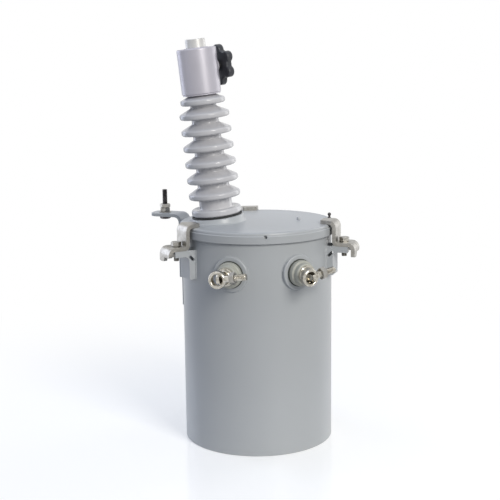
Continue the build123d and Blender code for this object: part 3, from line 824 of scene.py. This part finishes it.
class TRANSFORMER_OT_tank(bpy.types.Operator):
    """Makes the painted tank with its two low-voltage bosses and its welds"""

    bl_idname = "transformer.tank"
    bl_label = "Tank"

    def execute(self, context):
        radius, height = sizes().tank_radius / MM, sizes().tank_height / MM
        wall, boss = 3.0, LV_BOSS_RADIUS
        inner = radius - wall
        profile = [(inner, height / 2), (inner, 0, 0.5), (radius, 0, 1.2)]
        profile += [(radius, height, 1.0), (inner, height, 0.5), (inner, height / 2)]
        seat = [(0, LV_SEAT), (boss, LV_SEAT, 2.2), (boss, -9.0), (0, -9.0)]
        parts = [(turned("shell", profile, "Baked Enamel", segments=192), Matrix())]
        beads = []
        for side in ("left", "right"):
            piece = turned("boss", seat, "Baked Enamel", segments=96)
            parts.append((piece, on_wall(lv_azimuth(side), radius, LV_HEIGHT)))
            beads.append(round_weld(lv_azimuth(side), radius, LV_HEIGHT, boss + 0.2, 2.4))
        settled(assembled("tank_painted", parts), "tank_paint", "tank_shell")
        edge, thick = 131.8, 4.0
        bottom = [(0, 0), (edge, 0, 0.3), (edge, thick, 0.3), (0, thick)]
        floor = turned("tank_floor_painted", bottom, "Baked Enamel", segments=128)
        settled(floor, "tank_paint", "tank_floor")
        # The seam of the rolled sheet
        seam = outward(-150) * (radius - 0.6)
        beads.append(weld([seam + UP * 6.0, seam + UP * 376.0], width=5.0))
        for azimuth in clamp_azimuths().values():
            beads += side_welds(azimuth, radius, 18.4, 333.5, 24.5)
        for centre in (258.0, 345.0):
            azimuth = azimuth_of(middle("arrester_bracket_pads"))
            beads += side_welds(azimuth, radius, 9.4, centre, 12.0, 3.0)
        for centre in (60.0, 260.0):
            beads += side_welds(180.0, radius, 35.6, centre, 34.0)
        azimuth = azimuth_of(middle("ground_boss"))
        beads.append(round_weld(azimuth, radius, GROUND_HEIGHT, 14.4, 3.0))
        settled(assembled("weld_beads", beads), "tank_paint", sharp=math.pi)
        return {"FINISHED"}


def clamp_azimuths():
    return {side: azimuth_of(middle(f"clamp_bolt_{side}")) for side in ("left", "right", "back")}


def round_weld(azimuth, tank, height, radius, width):
    """A ring of weld on the tank's wall, where a round boss meets it."""
    points = []
    for step in range(72):
        angle = math.tau * step / 72
        across = radius * math.cos(angle)
        out = math.sqrt(tank**2 - across**2) - 0.2
        spot = outward(azimuth) * out + along_wall(azimuth) * across
        points.append(spot + UP * (height + radius * math.sin(angle)))
    return weld(points, True, width)


def side_welds(azimuth, tank, edge, centre, half, width=None):
    """Two upright beads on the tank's wall, along the left and right edges of a bracket."""
    beads = []
    for across in (-edge, edge):
        out = math.sqrt(tank**2 - across**2) - 0.2
        foot = outward(azimuth) * out + along_wall(azimuth) * across
        beads.append(weld([foot + UP * (centre - half), foot + UP * (centre + half)], width=width))
    return beads


class TRANSFORMER_OT_cover(bpy.types.Operator):
    """Makes the pressed cover with its sloped bushing boss, vent hole, screw and ball stud"""

    bl_idname = "transformer.cover"
    bl_label = "Cover"

    def execute(self, context):
        tank = sizes().tank_height / MM
        sheet = sizes().cover_sheet / MM
        top = tank + sheet
        dome, reach, skirt, gap, step = 3.0, 116.0, 17.0, 2.6, 1.4
        inner = sizes().tank_radius / MM + gap
        outer = inner + sheet
        ledge = top - 5.5
        crown = [(reach * i / 8, dome * (1 - (i / 8) ** 2)) for i in range(9)]
        profile = [(r, top + h) for r, h in crown]
        profile += [
            (outer - step, top, 4.5), (outer - step, ledge, 0.8), (outer, ledge - step, 0.8),
            (outer, tank - skirt, 1.2), (inner, tank - skirt, 0.8), (inner, ledge - step),
            (inner - step, ledge), (inner - step, tank, 2.0),
        ]
        profile += [(r, tank + h) for r, h in reversed(crown)]
        pan = turned("cover_pressed", profile, "Baked Enamel", segments=192, steps=6)
        drill = [(0, 0), (3.2, 0), (3.2, 12), (0, 12)]
        vent = turned("cutter", drill, "Baked Enamel", segments=24)
        put(vent, on_wall(0, inner - 4, top - 7.5))
        cut = pan.modifiers.new("Vent", "BOOLEAN")
        cut.object = vent
        cut.solver = "EXACT"
        baked(pan)
        bpy.data.objects.remove(vent)
        boss = sloped_boss(47.5, 51.0, top, dome, reach)
        cover = assembled("cover_painted", [(pan, Matrix()), (boss, Matrix())])
        settled(cover, "tank_paint", "cover")

        head = [(0, -1), (3.5, -1), (3.5, 2.6, 0.3), (2.9, 4.2, 1.0), (1.6, 5.0, 0.6), (0, 5.0)]
        screw = turned("cover_screw", head, "Baked Enamel", segments=32)
        from_axis = 76.0
        seat = top + dome * (1 - (from_axis / reach) ** 2) + 0.2
        put(screw, upright(78.5, from_axis, seat))
        settled(screw, "galvanised_steel", "cover_screws")
        turns = [math.pi * i / 14 for i in range(3, 14)]
        radius, centre = 3.2, 6.8
        ball = [(radius * math.sin(turn), centre - radius * math.cos(turn)) for turn in turns]
        stem = [(0, 0), (3.0, 0, 0.3), (3.0, 1.2, 0.3), (2.0, 1.6, 0.3), *ball, (0, 10.0)]
        stud = turned("ball_stud", stem, "Weathered Steel", segments=32)
        put(stud, upright(92.0, 134.0, top + 0.2))
        settled(stud, "galvanised_steel")
        return {"FINISHED"}


def sloped_boss(top_radius, foot_radius, cover_top, dome, reach):
    """The cover's raised seat for the bushing: rings from the dome up to a tilted face."""
    face = on_bushing(0)
    centre = face.translation / MM
    work = bmesh.new()
    rings = []
    count = 96
    for level in range(10):
        ring_verts = []
        for step in range(count):
            angle = math.tau * step / count
            out = Vector((math.cos(angle), math.sin(angle), 0))
            foot = Vector((centre.x, 0, 0)) + out * foot_radius
            foot.z = cover_top + dome * max(0.0, 1 - (foot.xy.length / reach) ** 2) - 0.1
            tilted = (face.to_3x3() @ out).normalized()
            brow = centre + tilted * top_radius
            side = brow - foot
            spots = (
                foot + out * 3.4 - UP * 0.4,
                foot + out * 1.7 + UP * 0.25,
                foot + out * 0.6 + UP * 0.9,
                foot + side * 0.3,
                brow - side.normalized() * 1.8,
                brow - side.normalized() * 0.75 - tilted * 0.15,
                brow - side.normalized() * 0.12 - tilted * 0.8,
                brow - tilted * 1.8,
                brow - tilted * 12.0,
                centre,
            )
            ring_verts.append(work.verts.new(spots[level] * MM))
        rings.append(ring_verts)
    for lower, upper in zip(rings, rings[1:]):
        for i in range(count):
            j = (i + 1) % count
            work.faces.new((lower[i], lower[j], upper[j], upper[i]))
    bmesh.ops.remove_doubles(work, verts=work.verts, dist=1e-6)
    bmesh.ops.holes_fill(work, edges=[e for e in work.edges if e.is_boundary], sides=0)
    bmesh.ops.recalc_face_normals(work, faces=work.faces)
    return formed(work, "boss", [bpy.data.materials["Baked Enamel"]])


class TRANSFORMER_OT_bushing(bpy.types.Operator):
    """Makes the shed porcelain of the high-voltage bushing and its gasket"""

    bl_idname = "transformer.bushing"
    bl_label = "High-voltage Bushing"

    def execute(self, context):
        foot = sizes().gasket_thickness / MM
        gasket = ring("bushing_gasket_rubber", 30.5, 45.4, foot, "Moulded Nitrile Rubber", 1.1, 96)
        settled(put(gasket, on_bushing(0)), "gasket_rubber", "bushing_gasket")

        sheds = sizes().shed_count
        core_low, core_high, tall = 30.5, 22.5, PORCELAIN_HEIGHT
        edge_round, root_round = 4.0, 3.2
        flange, top = foot + 14.0, foot + tall
        under = top - 16.0
        low_root = core_low + (core_high - core_low) * flange / tall
        high_root = core_low + (core_high - core_low) * under / tall
        profile = [(0, foot), (44.6, foot, edge_round), (44.6, flange, edge_round)]
        profile.append((low_root, flange - 4.0, root_round))
        first = len(profile)
        # The shed tree moves these points, four to a shed
        profile += [(core_low, flange + i) for i in range(4 * sheds)]
        profile.append((high_root, under, root_round))
        profile += [(39.8, top - 16.75, edge_round), (39.8, top - 7.25, edge_round)]
        profile += [(core_high, top), (0, top)]
        values = {
            "First Point": first,
            "Sheds": sheds,
            "First Height": (foot + 35.3) * MM,
            "Pitch": sizes().shed_pitch,
            "Core Low": core_low * MM,
            "Core High": core_high * MM,
            "Core Height": tall * MM,
        }
        shaping = [("Shed Profile", values)]
        piece = turned("hv_porcelain", profile, "Glazed Porcelain", NO_FLATS, 128, 6, shaping)
        settled(put(piece, on_bushing(0)), "porcelain", "hv_bushing")
        return {"FINISHED"}


class TRANSFORMER_OT_housing(bpy.types.Operator):
    """Makes the cast terminal housing, its plug, and the knob with its stem"""

    bl_idname = "transformer.housing"
    bl_label = "Terminal Housing"

    def execute(self, context):
        foot = sizes().gasket_thickness / MM + PORCELAIN_HEIGHT
        radius, tall, plug_radius = 34.8, 81.5, 17.5
        body = [
            (0, 0), (radius - 1.4, 0, 0.8), (radius - 1.4, 2.2, 0.6), (radius, 3.2, 0.8),
            (radius, tall, 3.0), (plug_radius + 4.0, tall, 0.8),
            (plug_radius + 3.2, tall + 0.8, 0.6), (0, tall + 0.8),
        ]
        casting = turned("casting", body, "Painted Aluminium Casting", segments=128, steps=6)
        terminal = mounts["hv_terminal"]
        knob_seat = placed(Vector(terminal["pos_m"]), terminal["axis"], UP)
        boss = [(0, -12), (15.5, -12), (15.5, -2.6, 1.0)]
        boss += [(13.0, -1.2, 1.0), (13.0, 0, 0.9), (0, 0)]
        seat = turned("seat", boss, "Painted Aluminium Casting", segments=64)
        parts = [(casting, on_bushing(foot)), (seat, knob_seat)]
        settled(assembled("housing_painted", parts), "housing_metal", "terminal_housing")

        plug = [(0, -1), (plug_radius, -1), (plug_radius, 16.0, 1.5)]
        plug += [(10.0, 16.0, 0.6), (9.4, 15.4, 0.4), (0, 15.4)]
        cap = turned("plug_painted", plug, "Painted Steel Plug", segments=96)
        settled(put(cap, on_bushing(foot + tall)), "housing_metal", "housing_plug")

        stem = [(0, 0), (7.0, 0, 0.4), (7.0, 4.5, 0.4), (0, 4.5)]
        neck = turned("stem_tinned", stem, "Tinned Brass", segments=40)
        settled(put(neck, knob_seat), "tinned_brass", "knob_stem")
        settled(cad_copy("star_knob", "Moulded Phenolic"), "knob_plastic", "star_knob")
        return {"FINISHED"}


class TRANSFORMER_OT_low_voltage(bpy.types.Operator):
    """Makes the two low-voltage bushings: gasket, insulator, terminal, eyebolt and nut"""

    bl_idname = "transformer.low_voltage"
    bl_label = "Low-voltage Bushings"

    def execute(self, context):
        face = sizes().tank_radius / MM + LV_SEAT
        gasket_thick, resin_tall, flange_tall = 2.5, 19.0, 11.0
        lean = math.radians(9)
        for side in ("left", "right"):
            azimuth = lv_azimuth(side)
            out = outward(azimuth)
            tilted = along_wall(azimuth) * math.cos(lean) + UP * math.sin(lean)
            eye = Vector(mounts[f"lv_terminal_{side}"]["pos_m"])
            name = f"lv_gasket_rubber_{side}"
            gasket = ring(name, 17, 24, gasket_thick, "Moulded Neoprene", 0.9)
            put(gasket, on_wall(azimuth, face, LV_HEIGHT))
            settled(gasket, "gasket_rubber", f"lv_gasket_{side}")

            profile = [(0, 0), (22.5, 0, 0.6), (22.5, 9.0, 2.5), (19.6, 9.0, 0.5)]
            profile += [(19.0, 10.0, 0.4), (19.0, resin_tall, 2.5), (0, resin_tall)]
            insulator = turned(f"lv_resin_{side}", profile, "Cast Resin", segments=72, steps=5)
            put(insulator, on_wall(azimuth, face + gasket_thick, LV_HEIGHT))
            settled(insulator, "lv_epoxy", f"lv_insulator_{side}")

            collar = [(0, 0), (15.5, 0, 0.5), (15.5, 3.0, 0.8), (13.6, 3.6, 0.5)]
            collar += [(13.6, 9.6, 1.2), (12.0, flange_tall, 0.6), (0, flange_tall)]
            flange = turned("flange", collar, "Tinned Brass", segments=64)
            corners = ((0, -5.5), (19, -5.5), (19, 5.5), (0, 5.5))
            outline = rounded_outline([(x, y, 2.0) for x, y in corners])
            tongue = bent_bar("tongue", "Tinned Brass", [(0, 0), (19, 0)], (), 6.0, outline)
            softened(tongue, 0.8, 2)
            # The tongue's blank runs along +X and lies in its x-y plane: it is stood on end
            rear = face + gasket_thick + resin_tall
            root = (out * (rear + flange_tall) + UP * LV_HEIGHT) * MM - tilted * 3.0 * MM
            stand = Matrix((out, tilted.cross(out), tilted)).transposed().to_4x4()
            parts = [
                (flange, on_wall(azimuth, rear, LV_HEIGHT)),
                (tongue, Matrix.Translation(root) @ stand),
            ]
            terminal = assembled(f"lv_terminal_tinned_{side}", parts)
            settled(terminal, "tinned_brass", f"lv_terminal_{side}")

            loop = ring("loop", 9.5, 15.5, 13.0, "Tinned Brass", 3.2, 64)
            waist = [(0, 12), (7.4, 12), (6.0, 19.0, 4.0), (6.0, 22.0), (0, 22.0)]
            neck = turned("neck", waist, "Tinned Brass")
            shank = thread("shank", 6.0, 31.0, "Tinned Brass", 1.75)
            root = eye + tilted * 7.0 * MM
            across = tilted.cross(out)
            parts = [
                (loop, placed(eye - out * 6.5 * MM, out, tilted)),
                (neck, placed(eye, tilted, across)),
                (shank, placed(root + tilted * 14.0 * MM, tilted, across)),
            ]
            eyebolt = assembled(f"lv_eyebolt_tinned_{side}", parts)
            settled(eyebolt, "tinned_brass", f"lv_eyebolt_{side}")

            nut = hexagon(f"lv_nut_plated_{side}", 19.0, 9.0, "Zinc-plated Steel", 5.4)
            put(nut, placed(root + tilted * 16.0 * MM, tilted, across))
            settled(nut, "galvanised_steel", f"lv_eyebolt_nut_{side}")
        return {"FINISHED"}


class TRANSFORMER_OT_clamps(bpy.types.Operator):
    """Makes the three cover clamps: lug, bent strap, bolt and nut"""

    bl_idname = "transformer.clamps"
    bl_label = "Cover Clamps"

    def execute(self, context):
        top = (sizes().tank_height + sizes().cover_sheet) / MM
        shelf, thick, width, tip = 360.0, 7.0, 37.0, 26.0
        lug_sheet, nut_height = 4.0, 8.0
        reach = math.hypot(*middle("clamp_bolt_back").xy) / MM
        line = [
            (122.0, top + thick / 2), (148.2, top + thick / 2), (148.2, shelf + thick / 2),
            (182.2, shelf + thick / 2), (182.2, shelf + thick / 2 - 22.0),
        ]
        radii = (9.0, 5.5, 9.0)
        length = bend_line(line, radii)[-1][0]
        half = width / 2
        taper = 21.1
        blank = [
            (0, -tip / 2, 2.0), (taper, -half, 6.0), (length, -half, 3.5), (length, -4.0, 3.5),
            (length - 8.0, 0.0, 3.5), (length - 8.0, half, 3.5), (taper, half, 6.0),
            (0, tip / 2, 2.0),
        ]
        outline = rounded_outline(blank)
        for side, azimuth in clamp_azimuths().items():
            name = f"strap_plated_{side}"
            strap = bent_bar(name, "Zinc-plated Steel", line, radii, thick, outline)
            softened(strap, 1.1)
            put(strap, upright(azimuth, 0, 0))
            settled(strap, "galvanised_steel", f"clamp_strap_{side}")

            lug = softened(cad_copy(f"clamp_lug_{side}", "Baked Enamel"), 0.7, 2)
            settled(lug, "tank_paint", f"clamp_lug_{side}")

            head = hexagon("head", 16.0, 8.0, "Zinc-plated Steel")
            rod = [(0, 0), (5, 0), (5, 16), (0, 16)]
            shank = turned("shank", rod, "Zinc-plated Steel", segments=28)
            screw = thread("screw", 5.0, 17.5, "Zinc-plated Steel")
            seat = shelf + thick
            start = (outward(azimuth) * reach + UP * (seat - 9.0)) * MM
            parts = [
                (head, upright(azimuth, reach, seat, 30)),
                (shank, upright(azimuth, reach, seat - 10)),
                (screw, placed(start, -UP, outward(azimuth))),
            ]
            bolt = assembled(f"clamp_bolt_plated_{side}", parts)
            settled(bolt, "galvanised_steel", f"clamp_bolt_{side}")

            nut = hexagon(f"clamp_nut_plated_{side}", 16.0, nut_height, "Zinc-plated Steel", 4.5)
            put(nut, upright(azimuth, reach, shelf - lug_sheet - nut_height, 30))
            settled(nut, "galvanised_steel", f"clamp_nut_{side}")
        return {"FINISHED"}


class TRANSFORMER_OT_arrester(bpy.types.Operator):
    """Makes the arrester's bracket with its pads, stud and nuts"""

    bl_idname = "transformer.arrester"
    bl_label = "Arrester Bracket"

    def execute(self, context):
        bolt_place = middle("arrester_bolt")
        azimuth = azimuth_of(bolt_place)
        reach = math.hypot(*bolt_place.xy) / MM
        leg, plate, foot, tip, thick = 144.5, 402.0, 232.0, 208.0, 6.0
        line = [(leg, foot), (leg, plate), (tip, plate)]
        radii = (12.0,)
        length = bend_line(line, radii)[-1][0]
        shoulder = 287.0 - foot
        side = [(0, -10, 2.0), (shoulder, -10, 1.5), (shoulder, -20, 2.0), (length, -20, 14.0)]
        outline = rounded_outline(side + [(x, -y, rounding) for x, y, rounding in side[::-1]], 8)
        bracket = bent_bar("arrester_bracket_painted", "Baked Enamel", line, radii, thick, outline)
        softened(bracket, 0.9)
        put(bracket, upright(azimuth, 0, 0))
        settled(bracket, "tank_paint", "arrester_bracket")
        pads = softened(cad_copy("arrester_bracket_pads", "Baked Enamel"), 0.7, 2)
        settled(pads, "tank_paint", "arrester_bracket_pads")

        head = hexagon("head", 17.0, 6.0, "Weathered Steel")
        rod = [(0, 0), (5, 0), (5, 8), (0, 8)]
        shank = turned("shank", rod, "Weathered Steel", segments=28)
        stud = thread("stud", 4.8, 43.5, "Weathered Steel")
        parts = [
            (head, upright(azimuth, reach, 393.0, 30)),
            (shank, upright(azimuth, reach, 398.0)),
            (stud, upright(azimuth, reach, 404.5)),
        ]
        settled(assembled("arrester_stud_weathered", parts), "dark_steel", "arrester_bolt")
        washer = ring("washer", 5.4, 11.0, 1.6, "Zinc-plated Steel", 0.4)
        lower = hexagon("lower", 17.0, 6.9, "Zinc-plated Steel", 4.3)
        upper = hexagon("upper", 17.0, 6.9, "Zinc-plated Steel", 4.3)
        parts = [
            (washer, upright(azimuth, reach, 405.0)),
            (lower, upright(azimuth, reach, 406.6)),
            (upper, upright(azimuth, reach, 414.1, 20)),
        ]
        settled(assembled("arrester_nuts_plated", parts), "galvanised_steel", "arrester_nuts")
        return {"FINISHED"}


class TRANSFORMER_OT_hangers(bpy.types.Operator):
    """Makes the two slotted hanger brackets on the back"""

    bl_idname = "transformer.hangers"
    bl_label = "Hanger Brackets"

    def execute(self, context):
        thick, depth, half_width, half_height = 6.0, 195.0, 35.0, 35.0
        side, back, wall = half_width - thick / 2, depth - thick / 2, 130.9
        line = [(-side, wall), (-side, back), (side, back), (side, wall)]
        radii = (5.0, 5.0)
        length = bend_line(line, radii)[-1][0]
        corners = ((0, -1), (length, -1), (length, 1), (0, 1))
        outline = rounded_outline([(x, y * half_height, 1.0) for x, y in corners])
        corners = ((-9, -20), (9, -20), (9, 20), (-9, 20))
        slot = rounded_outline([(length / 2 + x, y, 8.99) for x, y in corners], 10)
        # Local y runs across the bar, which is up here
        stand = Matrix(((1, 0, 0), (0, 0, 1), (0, 1, 0))).to_4x4()
        for name in ("upper_hanger", "lower_hanger"):
            hanger = bent_bar(f"{name}_painted", "Baked Enamel", line, radii, thick, outline, slot)
            softened(hanger, 0.9, 2)
            put(hanger, Matrix.Translation((0, 0, middle(name).z)) @ stand)
            settled(closed_outwards(hanger), "tank_paint", name)
        return {"FINISHED"}


class TRANSFORMER_OT_ground(bpy.types.Operator):
    """Makes the ground boss and its bolt"""

    bl_idname = "transformer.ground"
    bl_label = "Ground Boss"

    def execute(self, context):
        azimuth = azimuth_of(middle("ground_boss"))
        radius = sizes().tank_radius / MM
        body = [(0, -2.4), (14, -2.4), (14, 10, 1.2), (0, 10)]
        boss = turned("ground_boss_bare", body, "Zinc-plated Steel", segments=64)
        put(boss, on_wall(azimuth, radius, GROUND_HEIGHT))
        settled(boss, "galvanised_steel", "ground_boss")
        washer = ring("washer", 5.0, 12.0, 2.5, "Zinc-plated Steel", 0.6)
        head = hexagon("head", 18.0, 7.5, "Zinc-plated Steel")
        parts = [
            (washer, on_wall(azimuth, radius + 10, GROUND_HEIGHT)),
            (head, on_wall(azimuth, radius + 12.5, GROUND_HEIGHT)),
        ]
        settled(assembled("ground_bolt_plated", parts), "galvanised_steel", "ground_bolt")
        return {"FINISHED"}


class TRANSFORMER_OT_stage(bpy.types.Operator):
    """Makes the camera, the soft studio lights, the white surroundings and the floor"""

    bl_idname = "transformer.stage"
    bl_label = "Stage"

    def execute(self, context):
        scene = context.scene
        scene.view_settings.view_transform = "Standard"
        stand_camera(scene)
        light_world(scene)
        reach = sizes().floor_reach
        studio_acrylic("Studio Acrylic", linear("#EFEFEE"), reach)
        work = bmesh.new()
        bmesh.ops.create_circle(work, cap_ends=True, segments=96, radius=reach)
        bmesh.ops.translate(work, verts=work.verts, vec=(0, 0, -0.2 * MM))
        formed(work, "floor", [bpy.data.materials["Studio Acrylic"]])
        hang_lamps(scene)
        return {"FINISHED"}


def stand_camera(scene):
    """The photograph's viewpoint: its place, aim and roll, and its lens on a 36 mm sensor."""
    lens = bpy.data.cameras.new("camera")
    lens.lens = 80.27
    lens.sensor_width = 36.0
    lens.clip_end = 60.0
    camera = bpy.data.objects.new("camera", lens)
    scene.collection.objects.link(camera)
    aim = Vector((0.0966, 0.9788, -0.1808)).normalized()
    level = aim.cross(UP).normalized()
    right = (level - 0.0123 * level.cross(aim)).normalized()
    turn = Matrix((right, right.cross(aim), -aim)).transposed().to_4x4()
    camera.matrix_world = Matrix.Translation((-0.2083, -1.9821, 0.710)) @ turn
    scene.camera = camera


def light_world(scene):
    """A dim, cool light from all round, which the camera and reflections see as white."""
    world = bpy.data.worlds.new("studio")
    scene.world = world
    world.use_nodes = True
    tree = world.node_tree
    tree.nodes.clear()
    seen = seen_directly(tree)
    level = add(tree, "ShaderNodeMapRange", {"Value": seen, "To Min": 0.33, "To Max": 1.0})
    tints = {0: seen, 6: (*linear("#DBE6FA"), 1), 7: (1, 1, 1, 1)}
    tint = add(tree, "ShaderNodeMix", tints, data_type="RGBA").outputs[2]
    sky = add(tree, "ShaderNodeBackground", {"Color": tint, "Strength": level})
    add(tree, "ShaderNodeOutputWorld", {"Surface": sky})


def hang_lamps(scene):
    """Soft boxes: a key from the right front, a faint fill, two behind the edges, one above."""
    aim = Vector((0, 0, 0.32))
    for name, place, size, power, colour in (
        ("key", (1.0, -2.1, 1.6), (0.9, 1.2), 43.0, "#FFFCF5"),
        ("fill", (-2.4, -0.9, 1.0), (0.8, 1.6), 1.5, "#B4CAFF"),
        ("edge_left", (-1.7, 1.3, 0.8), (1.0, 1.8), 13.0, "#E4ECFF"),
        ("edge_right", (1.7, 1.0, 0.8), (0.8, 1.8), 8.0, "#FFFFFF"),
        ("top", (-0.4, 0.1, 2.3), (1.6, 1.6), 7.5, "#E0EAFF"),
    ):
        lamp = bpy.data.lights.new(name, "AREA")
        lamp.shape = "RECTANGLE"
        lamp.size, lamp.size_y = size
        lamp.energy = power
        lamp.color = linear(colour)
        holder = bpy.data.objects.new(name, lamp)
        scene.collection.objects.link(holder)
        turn = (aim - Vector(place)).to_track_quat("-Z", "Y").to_matrix().to_4x4()
        holder.matrix_world = Matrix.Translation(place) @ turn


class TRANSFORMER_PT_panel(bpy.types.Panel):
    """Lists the settings and the pieces"""

    bl_label = "Transformer Finish"
    bl_idname = "TRANSFORMER_PT_panel"
    bl_space_type = "VIEW_3D"
    bl_region_type = "UI"
    bl_category = "Transformer"

    def draw(self, context):
        for group in (context.scene.transformer_sizes, context.scene.transformer_finishes):
            for name in group.bl_rna.properties.keys():
                if name not in ("rna_type", "name"):
                    self.layout.prop(group, name)
        for operator in operators:
            self.layout.operator(operator.bl_idname)


operators = (
    TRANSFORMER_OT_finishes,
    TRANSFORMER_OT_stage,
    TRANSFORMER_OT_tank,
    TRANSFORMER_OT_cover,
    TRANSFORMER_OT_bushing,
    TRANSFORMER_OT_housing,
    TRANSFORMER_OT_low_voltage,
    TRANSFORMER_OT_clamps,
    TRANSFORMER_OT_arrester,
    TRANSFORMER_OT_hangers,
    TRANSFORMER_OT_ground,
)
classes = (TransformerSizes, TransformerFinishes, *operators, TRANSFORMER_PT_panel)


def register():
    for kind in classes:
        bpy.utils.register_class(kind)
    bpy.types.Scene.transformer_sizes = bpy.props.PointerProperty(type=TransformerSizes)
    bpy.types.Scene.transformer_finishes = bpy.props.PointerProperty(type=TransformerFinishes)


def unregister():
    del bpy.types.Scene.transformer_finishes
    del bpy.types.Scene.transformer_sizes
    for kind in reversed(classes):
        bpy.utils.unregister_class(kind)


def main():
    register()
    bpy.ops.transformer.finishes()
    bpy.ops.transformer.stage()
    bpy.ops.transformer.tank()
    bpy.ops.transformer.cover()
    bpy.ops.transformer.bushing()
    bpy.ops.transformer.housing()
    bpy.ops.transformer.low_voltage()
    bpy.ops.transformer.clamps()
    bpy.ops.transformer.arrester()
    bpy.ops.transformer.hangers()
    bpy.ops.transformer.ground()


if __name__ == "__main__":
    main()
